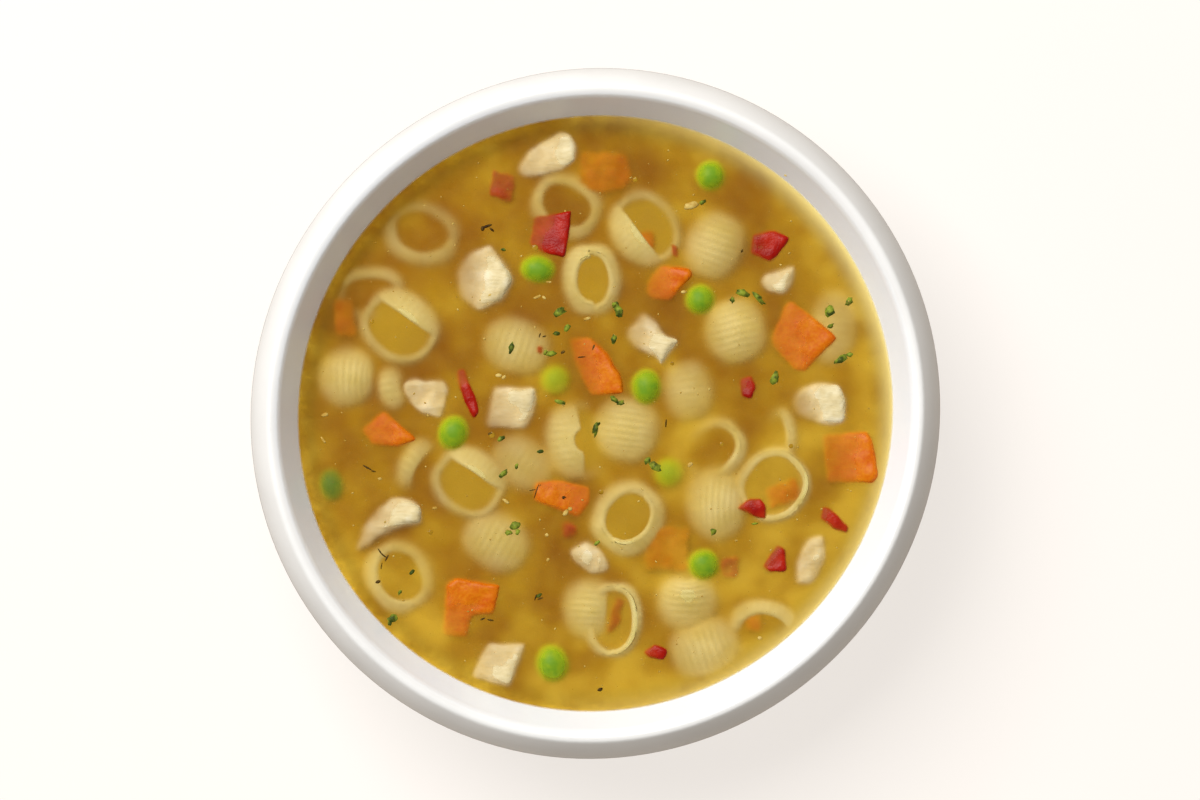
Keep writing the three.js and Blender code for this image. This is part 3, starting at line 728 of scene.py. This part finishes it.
def shell_shape(shell, across=54, along=76):
    """One shell as a closed body, in its place in the bowl."""
    width, length = shell["width"], shell["length"]
    flat = shell.get("flat", SHELL_FLAT)
    half_width, half_length = (width - PASTA_WALL) / 2, (length - PASTA_WALL) / 2
    hub = SHELL_HUB * half_width
    arm = half_width - hub
    ridges = round(2 * TIP_TURN * (half_length + arm) / 2 / RIDGE_PITCH)
    shape = bmesh.new()
    crest = shape.verts.layers.float.new("crest")
    bmesh.ops.create_grid(shape, x_segments=across, y_segments=along, size=1)
    outer = set(moved_verts(bmesh.ops.extrude_face_region(shape, geom=shape.faces[:])))
    shut = set()
    for vert in shape.verts:
        side, tip = vert.co.x, vert.co.y * TIP_TURN
        ring = hub + arm * math.cos(tip)
        slots = [half_slot(shell, name, ring, half_width) for name in ("left", "right")]
        if abs(side) > 0.999 and max(slots) < 0.001:
            shut.add(vert)
        outwards = Vector((half_length * math.cos(tip), arm * math.sin(tip)))
        height = -PASTA_WALL / 2
        if vert in outer:
            ridge = math.cos(math.pi * ridges * vert.co.y)
            inland = min(1, 6 * (1 - abs(vert.co.y)), 4 * (1 - abs(side)))
            height = PASTA_WALL / 2 + RIDGE_DEPTH * ridge * inland
            vert[crest] = ridge * inland
        outwards = outwards.normalized() * height
        radius = max(0.05, ring + outwards.x)
        sweep = side * (math.pi - math.asin(min(1, slots[side > 0] / ring)))
        vert.co = Vector((
            radius * math.sin(sweep),
            half_length * math.sin(tip) + outwards.y,
            -radius * math.cos(sweep) * flat,
        ))
    closed = [face for face in shape.faces if shut.issuperset(face.verts)]
    bmesh.ops.delete(shape, geom=closed, context="FACES_ONLY")
    bmesh.ops.remove_doubles(shape, verts=list(shut), dist=0.01)
    bmesh.ops.recalc_face_normals(shape, faces=shape.faces)
    rim = [edge for edge in shape.edges if edge.calc_face_angle(0) > SHARP_EDGE]
    bmesh.ops.bevel(shape, geom=rim, offset=LIP_ROUND, segments=3, profile=0.5, affect="EDGES",
                    material=-1)
    turn = Matrix.Rotation(math.radians(shell.get("turn", 0)), 4, "Z")
    turn @= Matrix.Rotation(math.radians(shell.get("nod", 0)), 4, "X")
    turn @= Matrix.Rotation(math.radians(shell.get("spin", 0)), 4, "Y")
    bmesh.ops.transform(shape, matrix=turn, verts=shape.verts)
    low = Vector([min(vert.co[i] for vert in shape.verts) for i in range(3)])
    high = Vector([max(vert.co[i] for vert in shape.verts) for i in range(3)])
    face_down = shell.get("spin", 0) == 180
    top = SOUP_LEVEL + shell.get("rise", SHELL_RISE) - (SETTLED if face_down else MOUTH_SETTLED)
    middle = Vector(((low.x + high.x) / 2, (low.y + high.y) / 2, high.z))
    bmesh.ops.translate(shape, vec=Vector((*shell["at"], top)) - middle, verts=shape.verts)
    for vert in shape.verts:
        place = vert.co * SWAY_SCALE
        vert.co += SWAY * Vector((noise.noise(place), noise.noise(place + Vector((9, 9, 9))), 0))
    keep_inside(shape)
    return shape


trial = shell_shape(SHELLS["shell_01"])
print(f"a shell has {len(trial.faces)} faces before they are cut into triangles")
trial.free()


# %% Pasta finish
PASTA_FADE = 3.8  # pale pasta shows through more of the broth than anything else


def pasta_finish():
    finish = Finish("cooked_pasta")
    place = finish.place()
    cloud = finish.noise(place, 7)
    colour = finish.ramp(cloud, (0.3, paint(191, 174, 97)), (0.7, paint(208, 194, 130)))
    grain = finish.noise(place, 0.7, detail=2)
    starch = finish.ramp(grain, (0.3, paint(190, 166, 86)), (0.7, paint(222, 208, 150)))
    pale = finish.mix(0.2, colour, starch)
    # Painted shade: the grooves between the ridges are painted darker and the crests lighter.
    crest = finish.node("ShaderNodeAttribute", attribute_name="crest").outputs["Fac"]
    ridge = finish.maths("MULTIPLY_ADD", crest, 0.5, 0.5)
    painted_ridge_shade = finish.ramp(ridge, (0.0, (0.91, 0.9, 0.87, 1)), (1.0, (1.05, 1.05, 1.06, 1)))
    ridge_shaded = finish.mix(1.0, pale, painted_ridge_shade, "MULTIPLY")
    roughness = finish.maths("MULTIPLY_ADD", grain, 0.15, 0.42)
    finish_in_broth(finish, ridge_shaded, roughness, finish.bump(grain, 0.05), fade=PASTA_FADE)
    return finish.material


pasta = pasta_finish()
print(f"{pasta.name}: {len(pasta.node_tree.nodes)} nodes")

# %% All the shells
for name, shell in SHELLS.items():
    add_piece(name.replace("shell", "pasta"), shell_shape(shell), [pasta], "pasta", [name])
for i, shell in enumerate(SUNKEN_SHELLS, start=1):
    add_piece(f"sunken_pasta_{i:02d}", shell_shape(shell, across=40, along=64), [pasta], "pasta")
sized("pasta_01")

# %% Cloudier broth inside the open shells
CUP_CLOUD = 2.6  # broth in a shell lets the eye less deep, and the pasta below lights it
LYING = 30  # a shell that is turned by less than this many degrees holds broth
cup = core.data.attributes.new("cup", "FLOAT", "POINT")
for vert in core.data.vertices:
    if vert.co.z > (core_top - 1) * MM and vert.normal.z > 0.5:
        lift = 0
        for shell in SHELLS.values():
            if abs(shell.get("spin", 0)) < LYING:
                across = (vert.co.xy / MM - Vector(shell["at"])).length / (0.5 * shell["width"])
                lift = max(lift, 1 - across * across)
        vert.co.z = min(vert.co.z + CUP_CLOUD * lift * MM, (SOUP_LEVEL - 0.2) * MM)
        cup.data[vert.index].value = lift
print(f"{sum(item.value > 0 for item in cup.data)} points of the lower broth lie in open shells")

# %% [markdown]
# ## Cut pieces: chicken, carrot and red pepper
# The solid model already holds each cut piece as a faceted block in the right place. A copy of
# the block is turned into an even skin of small faces by a voxel remesh, its corners are relaxed,
# and noise then roughens it: softly and with fibres for chicken, hardly at all for carrot. Each
# piece then settles a little and leans, so that one side dips under the broth and fades.

# %% From block to piece
DENT_SCALE = 0.35
FIBRE_SCALE = (0.18, 1.1, 1.1)  # noise that is drawn out along X makes fibres


def weathered(shape, voxel, relax, rough, grain, seed):
    """An even, relaxed and roughened skin over a block, all in millimetres."""
    mesh = bpy.data.meshes.new("block")
    shape.to_mesh(mesh)
    shape.free()
    block = bpy.data.objects.new("block", mesh)
    scene.collection.objects.link(block)
    remesh = block.modifiers.new("skin", "REMESH")
    remesh.mode = "VOXEL"
    remesh.voxel_size = voxel
    live = block.evaluated_get(bpy.context.evaluated_depsgraph_get())
    skin = bpy.data.meshes.new_from_object(live)
    bpy.data.objects.remove(block)
    shape = bmesh.new()
    shape.from_mesh(skin)
    bpy.data.meshes.remove(skin)
    for _ in range(relax):
        bmesh.ops.smooth_vert(shape, verts=shape.verts, factor=0.5, use_axis_x=True,
                              use_axis_y=True, use_axis_z=True)
    shape.normal_update()
    turn = Matrix.Rotation(seed * 0.9, 3, "Z")
    for vert in shape.verts:
        dent = noise.noise(vert.co * DENT_SCALE + Vector((seed, 0, 0)))
        fibre = noise.noise(turn @ vert.co * Vector(FIBRE_SCALE))
        vert.co += vert.normal * (rough * dent + grain * fibre)
    return shape


def block_of(node):
    """A copy of a solid's mesh as a closed block in millimetres."""
    shape = bmesh.new()
    shape.from_mesh(nodes[node].data)
    bmesh.ops.scale(shape, vec=(1 / MM,) * 3, verts=shape.verts)
    bmesh.ops.remove_doubles(shape, verts=shape.verts, dist=0.001)
    return shape


def sunken_block(corners, top, thick):
    """A prism with these corners, seen from above, whose top lies at a height."""
    shape = bmesh.new()
    face = shape.faces.new([shape.verts.new((x, y, top)) for x, y in corners])
    if face.calc_area() > 0 and face.normal.z < 0:
        face.normal_flip()
    lowered = moved_verts(bmesh.ops.extrude_face_region(shape, geom=[face]))
    bmesh.ops.translate(shape, vec=(0, 0, -thick), verts=lowered)
    bmesh.ops.recalc_face_normals(shape, faces=shape.faces)
    return shape


block = block_of("carrot_1")
print(f"a block of carrot takes up {block.calc_volume():.0f} cubic millimetres")
block.free()


# %% Finishes of the cut pieces
def chicken_finish():
    finish = Finish("cooked_chicken")
    place = finish.place()
    cloud = finish.noise(place, 5)
    colour = finish.ramp(
        cloud,
        (0.3, paint(198, 178, 128)),
        (0.55, paint(212, 197, 152)),
        (0.75, paint(232, 223, 192)),
    )
    drawn_out = finish.moved(place, scale=(0.25, 1, 1), turn=(0, 0, 0.8))
    fibres = finish.noise(drawn_out, 0.7)
    strands = finish.ramp(fibres, (0.3, paint(196, 174, 116)), (0.7, paint(232, 224, 190)))
    streaked = finish.mix(0.22, colour, strands)
    roughness = finish.maths("MULTIPLY_ADD", fibres, 0.25, 0.3)
    finish_in_broth(finish, streaked, roughness, finish.bump(fibres, 0.16))
    return finish.material


def carrot_finish():
    finish = Finish("cooked_carrot")
    place = finish.place()
    cloud = finish.noise(place, 6, detail=2)
    colour = finish.ramp(cloud, (0.35, paint(192, 86, 6)), (0.65, paint(203, 112, 12)))
    cells = finish.noise(place, 0.8, detail=2)
    grains = finish.ramp(cells, (0.35, paint(184, 76, 4)), (0.65, paint(210, 128, 20)))
    mottled = finish.mix(0.3, colour, grains)
    roughness = finish.maths("MULTIPLY_ADD", cells, 0.2, 0.28)
    finish_in_broth(finish, mottled, roughness, finish.bump(cells, 0.06))
    return finish.material


def pepper_finish():
    finish = Finish("red_pepper")
    place = finish.place()
    cloud = finish.noise(place, 4, detail=2)
    colour = finish.ramp(cloud, (0.35, paint(138, 15, 8)), (0.65, paint(164, 32, 14)))
    cells = finish.noise(place, 0.6, detail=2)
    roughness = finish.maths("MULTIPLY_ADD", cells, 0.2, 0.25)
    finish_in_broth(finish, colour, roughness, finish.bump(cells, 0.12))
    return finish.material


chicken, carrot, pepper = chicken_finish(), carrot_finish(), pepper_finish()
print(f"{chicken.name}, {carrot.name} and {pepper.name}")

# %% Kinds of cut pieces, and where the sunken ones lie
CUTS = {
    "chicken": dict(
        count=10, finish=chicken, slot="chicken", lean=0.12, settled=0.85,
        skin=dict(voxel=0.5, relax=16, rough=0.3, grain=0.13),
    ),
    "carrot": dict(
        count=7, finish=carrot, slot="carrot", lean=0.09, settled=0.85,
        skin=dict(voxel=0.5, relax=10, rough=0.25, grain=0.05),
    ),
    "pepper": dict(
        count=8, finish=pepper, slot="red_pepper", lean=0.06, settled=SETTLED,
        skin=dict(voxel=0.4, relax=7, rough=0.3, grain=0.06),
    ),
}
SUNKEN_SKIN = dict(relax=24, rough=0.8)  # longer in the broth, so rounder
SUNKEN_SEED = 20
# kind, how deep the top lies, thickness, corners seen from above
SUNKEN_CUTS = [
    ("chicken", 0.4, 6,
     [(-49.2, 9), (-39.3, 8.5), (-38.2, 4.3), (-40.3, -1.2), (-45.8, 0.4), (-50, 5.6)]),
    ("carrot", 1.7, 5, [(-4, 68), (8, 68), (10, 60), (2, 57), (-4.6, 60)]),
    ("carrot", 1.9, 5, [(-68.4, 29.5), (-63, 30), (-62.2, 20), (-67.6, 19.8)]),
    ("carrot", 1.2, 5, [(43.6, -19.4), (52.4, -16.6), (54, -22.4), (46, -25)]),
    ("carrot", 2.0, 5, [(12.6, -29.5), (25, -30), (24, -41), (13, -41)]),
    ("carrot", 1.5, 4, [(38.6, -51.4), (43.6, -51.6), (43.4, -57), (39, -57)]),
    ("carrot", 1.2, 4, [(11, 46.6), (15.4, 48.4), (15.8, 42.8), (12, 42.4)]),
    ("pepper", 0.45, 3.4, [(-26.8, 63.6), (-20.8, 62), (-21.6, 54.8), (-27.6, 56.8)]),
    ("pepper", 1.3, 3, [(5.2, -47.6), (8.2, -48.6), (5.6, -57), (2.4, -58.4)]),
    ("pepper", 1.0, 3, [(32.6, -37.4), (37.4, -37.6), (37.2, -43.4), (33, -43)]),
    ("pepper", 1.0, 3, [(-9, -28.4), (-4.6, -29), (-5, -32.8), (-8.6, -32.4)]),
    ("pepper", 0.3, 2, [(-16, 17.8), (-13.4, 17.6), (-13.6, 15.2), (-15.8, 15.4)]),
    ("pepper", 0.5, 2, [(19.6, 44.4), (21.4, 43.6), (21.6, 40.8), (20, 41.2)]),
]
print(f"{len(CUTS)} kinds, and {len(SUNKEN_CUTS)} pieces that are wholly sunk")

# %% The cut pieces
for kind, cut in CUTS.items():
    for i in range(1, cut["count"] + 1):
        node = f"{kind}_{i}"
        shape = weathered(block_of(node), **cut["skin"], seed=i)
        middle = sum((vert.co for vert in shape.verts), Vector()) / len(shape.verts)
        for vert in shape.verts:
            vert.co.z += cut["lean"] * (vert.co.x - middle.x) - cut["settled"]
        add_piece(f"cut_{node}", shape, [cut["finish"]], cut["slot"], [node])
    for i, (family, depth, thick, corners) in enumerate(SUNKEN_CUTS, start=1):
        if family == kind:
            block = sunken_block(corners, SOUP_LEVEL - depth, thick)
            skin = {**cut["skin"], **SUNKEN_SKIN}
            shape = weathered(block, **skin, seed=SUNKEN_SEED + i)
            add_piece(f"sunken_{kind}_{i}", shape, [cut["finish"]], cut["slot"])
sized("cut_chicken_2")

# %% [markdown]
# ## Peas
# A cooked pea is a sphere that has lost a little of its roundness, with a thin skin that looks
# yellower round the sides, where the broth covers it. A UV sphere, drawn out and dented by noise,
# is enough. One pea has kept its dark skin.

# %% Pea finish
PEA_FADE = 3.0


def pea_finish(name, flank, side, top):
    finish = Finish(name)
    place = finish.place()
    uneven = finish.noise(place, 2.5, detail=2)
    wander = finish.maths("MULTIPLY_ADD", uneven, 2.4 * MM, finish.along("Z"))
    height = finish.maths("SUBTRACT", wander, (SOUP_LEVEL - 0.4) * MM)
    upwards = finish.maths("MULTIPLY", height, 1 / (3 * MM))
    colour = finish.ramp(upwards, (0.0, flank), (0.55, side), (0.98, top))
    skin = finish.noise(place, 0.7, detail=2)
    roughness = finish.maths("MULTIPLY_ADD", skin, 0.15, 0.45)
    finish_in_broth(finish, colour, roughness, finish.bump(skin, 0.04), fade=PEA_FADE)
    return finish.material


pea_skin = pea_finish(
    "cooked_pea", paint(155, 174, 28), paint(142, 163, 26), paint(106, 145, 32)
)
dark_skin = pea_finish("dark_pea", paint(84, 122, 34), paint(62, 108, 36), paint(56, 102, 38))
print(f"two skins, {pea_skin.name} and {dark_skin.name}")

# %% The peas
PEA_RISE = 1.4
DARK = "sunken_pea_2"
# name, middle seen from above, width, length, turn, rise
PEAS = [
    ("pea_1", (30.1, 62), 8, 8.2, 0, PEA_RISE),
    ("pea_2", (-15, 37.6), 7.4, 9.4, 82, PEA_RISE),
    ("pea_3", (27.4, 29.7), 8, 8.3, 0, PEA_RISE),
    ("pea_4", (13.3, 6.9), 8.2, 9.7, 0, PEA_RISE),
    ("pea_5", (-37.1, -5.1), 8.2, 9.6, -22, PEA_RISE),
    ("pea_6", (28.3, -39.5), 8.5, 8.5, 0, PEA_RISE),
    ("pea_7", (-11.2, -65.3), 8.9, 10.2, 14, PEA_RISE),
    ("sunken_pea_1", (-10.5, 8.8), 8.4, 8.4, 0, -0.3),
    ("sunken_pea_2", (-68.9, -18.7), 6.8, 8.9, 10, -0.1),
    ("sunken_pea_3", (19.2, -15.5), 8.4, 8.4, 0, -0.3),
]


def pea_shape(middle, width, length, turn, rise, seed):
    shape = bmesh.new()
    bmesh.ops.create_uvsphere(shape, u_segments=36, v_segments=24, radius=0.5)
    bmesh.ops.scale(shape, vec=(width, length, width), verts=shape.verts)
    about = Matrix.Rotation(math.radians(turn), 3, "Z")
    bmesh.ops.rotate(shape, cent=(0, 0, 0), matrix=about, verts=shape.verts)
    for vert in shape.verts:
        vert.co *= 1 + 0.035 * noise.noise(vert.co * 0.3 + Vector((seed * 5, 0, 0)))
    bmesh.ops.translate(shape, vec=(*middle, SOUP_LEVEL + rise - width / 2), verts=shape.verts)
    return shape


for i, (name, middle, width, length, turn, rise) in enumerate(PEAS):
    shape = pea_shape(middle, width, length, turn, rise, i)
    if name in nodes:
        add_piece(f"green_{name}", shape, [pea_skin], "pea", [name])
    else:
        add_piece(name, shape, [dark_skin if name == DARK else pea_skin], "pea")
sized("green_pea_1")

# %% [markdown]
# ## Herbs, crumbs and drops of fat
# The smallest things are made last, and each is laid on whatever is there: a ray sent straight
# down finds the broth or the food below it. A scrap of leaf is a thin plate with an uneven
# outline, a stalk is a very narrow one, and a crumb is a dented ball. All of one kind are joined
# in one mesh, because a hundred tiny objects would be slow to handle.

# %% Small things and where they lie
bpy.context.view_layer.update()
graph = bpy.context.evaluated_depsgraph_get()
PLATE = 0.25


def top_at(x, y):
    """What a ray from above meets first: its height in millimetres and its name."""
    place, _, _, thing, _ = scene.ray_cast(graph, Vector((x, y, 100)) * MM, Vector((0, 0, -1)))[1:]
    return place.z / MM, thing.name


def lay(shape, verts, x, y, length, width, turn, sink):
    """Stretches, turns and moves a unit shape to its place on the soup."""
    place = Matrix.Translation((x, y, top_at(x, y)[0] - sink))
    place @= Matrix.Rotation(math.radians(turn), 4, "Z") @ Matrix.Diagonal((length, width, 1, 1))
    bmesh.ops.transform(shape, matrix=place, verts=verts)


def add_scrap(shape, x, y, length, width, turn, corners=11, ragged=0.55):
    """A thin plate with an uneven outline, for a scrap of leaf or a stalk."""
    verts = bmesh.ops.create_circle(shape, cap_ends=True, segments=corners, radius=0.5)["verts"]
    for vert in verts:
        vert.co *= 1 + ragged * noise.noise(vert.co * 3.1 + Vector((x, y, 0)))
    lifted = moved_verts(bmesh.ops.extrude_face_region(shape, geom=[verts[0].link_faces[0]]))
    bmesh.ops.translate(shape, vec=(0, 0, PLATE), verts=lifted)
    for vert in verts + lifted:
        vert.co.z += 0.5 * noise.noise(Vector((vert.co.x * 2, vert.co.y * 2, x + y)))
    lay(shape, verts + lifted, x, y, length, width, turn, sink=PLATE / 2)


def add_crumb(shape, x, y, length, width, turn, tall=0.4, ragged=0.35, fineness=2):
    """A dented, flattened ball that is half sunk in the broth."""
    verts = bmesh.ops.create_icosphere(shape, subdivisions=fineness, radius=0.5)["verts"]
    for vert in verts:
        vert.co *= 1 + ragged * noise.noise(vert.co * 2.4 + Vector((x, y, 0)))
        vert.co.z *= tall * width
    lay(shape, verts, x, y, length, width, turn, sink=0)


print(f"a ray meets {top_at(0, 40)[1]} at {top_at(0, 40)[0]:.1f} mm")

# %% Where the scraps of leaf lie
# x, y, length, width, turn
LEAVES = [
    (-9.3, 26.5, 3, 1.7, 30), (-7.4, 22.3, 1.8, 1.2, 60), (-10.2, 20.8, 1.7, 1, 0),
    (6.1, 26.8, 3, 2.2, 110), (5.2, 28.4, 1.6, 1.2, 20), (4.8, 19.3, 2.2, 1.3, 80),
    (-22, 17.1, 2.8, 1.1, 80), (-11.6, 15.6, 2.2, 1.3, 10), (-13, 15.9, 1.2, 0.8, 60),
    (-9.1, 3, 2.9, 1, -15), (5, 3.6, 2.2, 1.1, -40), (6.6, 2.7, 1.8, 1.2, 20),
    (0, -4.2, 3.3, 1.2, 80), (0.7, -2.8, 1.4, 0.6, 40), (38.4, 31.4, 3.2, 1.5, -20),
    (42.7, 29.9, 3.4, 1.3, -48), (35.7, 29.6, 1.4, 1.1, 80), (28, 55.1, 1.5, 1, 30),
    (61, 26.6, 2.8, 2.1, 95), (66.1, 29.1, 2.4, 1.4, 55), (61.3, 22.8, 1.5, 0.9, 20),
    (64.2, 14.2, 3.2, 1.5, 28), (66.3, 15.3, 1.5, 1.1, 0), (46.7, 9.2, 3.2, 1.7, 72),
    (15.7, -13.9, 3, 1.9, -30), (13.6, -12.4, 1.9, 1.4, 60), (30.7, -30.9, 1.6, 1.3, 90),
    (-24.6, -6.6, 1.9, 1, 30), (-14.4, -10, 1.5, 0.9, 0), (-24, -15.7, 2.4, 1.2, 40),
    (-20.6, -13.8, 1.3, 0.8, 80), (-21, -29.2, 2.6, 1.8, 35), (-22.7, -31.1, 1.6, 1.2, 0),
    (-20.2, -30.9, 1.4, 1, 60), (-52.8, -53.4, 2.6, 1.8, 20), (-53.6, -54.6, 1.3, 1, 70),
    (-47.8, -41.4, 1.6, 0.8, 50), (-51, -46.7, 1.3, 0.7, 60), (-14.7, -47.5, 1.5, 0.8, 30),
    (-24, 42.7, 1.1, 0.8, 0), (41.6, -28.7, 1.7, 0.5, 5), (0.4, -33.8, 1.6, 0.9, 40),
]
LEAF_SPREAD = 1.18  # wet leaves have spread beyond their first outline
print(f"{len(LEAVES)} scraps of leaf")

# %% Where the stalks, crumbs and drops lie
STALKS = [
    (-28.3, 48.8, 3, 0.8, 20), (-29.4, 48.2, 1.4, 1, 80), (-27, 47.9, 1.5, 0.6, -40),
    (-14.5, 20.4, 1.3, 0.4, 70), (-13.3, 20.1, 1.2, 0.4, 20), (-8.5, 16, 1.3, 0.8, 30),
    (-0.5, 17.2, 1.7, 0.5, 75), (-3.6, 14.7, 2.2, 0.35, 5), (38.2, 42.4, 1, 0.6, 60),
    (18.4, -2.6, 2.2, 0.4, 85), (-59.4, -14.2, 3, 0.45, -30), (-57.8, -15.1, 1.2, 0.4, -10),
    (-15.4, -20.3, 4.3, 0.35, 72), (-16.4, -20, 1.8, 0.35, 10), (-14.6, -19.1, 1.6, 0.3, 60),
    (-8.2, -22, 1.1, 0.9, 0), (-56.2, -36, 2, 0.35, -55), (-55.4, -36.9, 2.4, 0.4, -40),
    (-54.4, -37.7, 2, 0.45, 60), (-55.8, -39.8, 1.9, 0.3, 80), (-56.7, -43.9, 1.4, 0.9, 20),
    (-29.4, -53.6, 1.5, 0.5, 20), (-27.4, -53.9, 1.7, 0.45, -10), (1.2, -72, 1.6, 0.9, 20),
    (-15.6, -48, 1.8, 0.4, 70), (-14.4, -48.3, 1.6, 0.4, 20), (-27.4, -5.4, 1.2, 0.9, 0),
]
CRUMBS = [
    (-15.1, 30.4, 2.2, 0.8, 20), (-13.4, 30.2, 1.4, 0.7, -40), (-2.2, 24.7, 2.2, 0.8, 15),
    (-12.1, 34.3, 1.5, 0.5, 0), (23.1, 31.7, 1.6, 0.8, 0), (-25.2, 9.9, 1.7, 1, 0),
    (-23.9, 9.4, 1.4, 0.9, 50), (25, 54.2, 4.2, 1.9, 15), (24.7, -13.4, 1.5, 1.2, 40),
    (42.9, -58.6, 1.3, 0.9, 0), (-23.3, -22.9, 2, 0.9, -35), (-70.6, -0.4, 2, 1, 20),
    (-71, -6.9, 2.2, 0.6, -55), (-56.2, -17, 1.1, 0.8, 0), (-41.9, -24.7, 1.4, 0.8, 10),
    (-7.8, -25.9, 2, 1.3, 50), (-6.6, -24.9, 1.3, 1, 0), (-12.7, -31.7, 1, 0.9, 0),
    (-12.4, -38.2, 1.2, 0.8, 60), (-27.4, 30.9, 1.4, 0.5, 20), (49.6, 62, 1, 0.6, 0),
]
FAT = [
    (-15.7, 43.2, 1.6), (-27, -5.6, 1.7), (-22.9, -31, 1.4), (-58.3, 24, 1.2), (33, -8, 1.1),
    (1.5, -20.5, 1.3), (51, -8.5, 1.2), (20, 13, 1.0), (-43, -31, 1.2), (10.4, 61, 1.3),
]
SPECKS = 640
SPECK_REACH = 73.0
print(f"{len(STALKS)} stalks, {len(CRUMBS)} crumbs and {len(FAT)} drops have their own places")


# %% Finishes of the small things
def small_finish(name, dark, light, patch_mm, roughness):
    finish = Finish(name)
    place = finish.place()
    cloud = finish.noise(place, patch_mm, detail=2)
    colour = finish.ramp(cloud, (0.38, dark), (0.62, light))
    finish.give("Base Color", colour)
    grain = finish.noise(place, 0.4, detail=2)
    shine = finish.maths("MULTIPLY_ADD", grain, 0.1, roughness)
    finish.give("Roughness", shine)
    finish.give("Normal", finish.bump(grain, 0.05))
    finish.give("Specular IOR Level", WET_SHINE)
    return finish.material


leaf = small_finish("herb_leaf", paint(62, 74, 26), paint(132, 146, 46), 1.6, 0.5)
stalk = small_finish("herb_stalk", paint(58, 40, 16), paint(92, 70, 26), 1.2, 0.6)
crumb_skin = small_finish("pale_crumb", paint(172, 136, 58), paint(202, 176, 100), 2, 0.5)
fat = small_finish("drop_of_fat", paint(132, 96, 20), paint(160, 124, 36), 2, 0.1)
print(f"{leaf.name}, {stalk.name}, {crumb_skin.name} and {fat.name}")


# %% Lay the small things
herbs = bmesh.new()
for x, y, length, width, turn in LEAVES:
    add_scrap(herbs, x, y, LEAF_SPREAD * length, LEAF_SPREAD * width, turn)
stalks = bmesh.new()
for scrap in STALKS:
    add_scrap(stalks, *scrap, corners=8, ragged=0.3)
crumbs = bmesh.new()
for crumb in CRUMBS:
    add_crumb(crumbs, *crumb)
chance = random.Random(12)
for i in range(SPECKS):
    reach = SPECK_REACH * math.sqrt((i + chance.random()) / SPECKS)
    angle = i * math.pi * (3 - math.sqrt(5)) + chance.uniform(-0.3, 0.3)
    size = 0.16 + 0.4 * chance.random() ** 4
    spot = (reach * math.cos(angle), reach * math.sin(angle))
    length, turn = size * chance.uniform(1, 1.8), chance.uniform(0, 180)
    if top_at(*spot)[1] == "broth_surface":
        add_crumb(crumbs, *spot, length, size, turn, fineness=1)
drops = bmesh.new()
for x, y, size in FAT:
    add_crumb(drops, x, y, size, size, 0, tall=0.15, ragged=0.05, fineness=3)
print(f"{len(herbs.faces)} faces of leaf, {len(crumbs.faces)} of crumbs")

# %% Finish the small things
SMALL_THINGS = {
    "herb_leaves": (herbs, leaf),
    "herb_stalks": (stalks, stalk),
    "crumbs": (crumbs, crumb_skin),
    "drops_of_fat": (drops, fat),
}
for name, (shape, finish) in SMALL_THINGS.items():
    bmesh.ops.recalc_face_normals(shape, faces=shape.faces)
    add_piece(name, shape, [finish], "broth", ["broth"])
sized("herb_leaves")
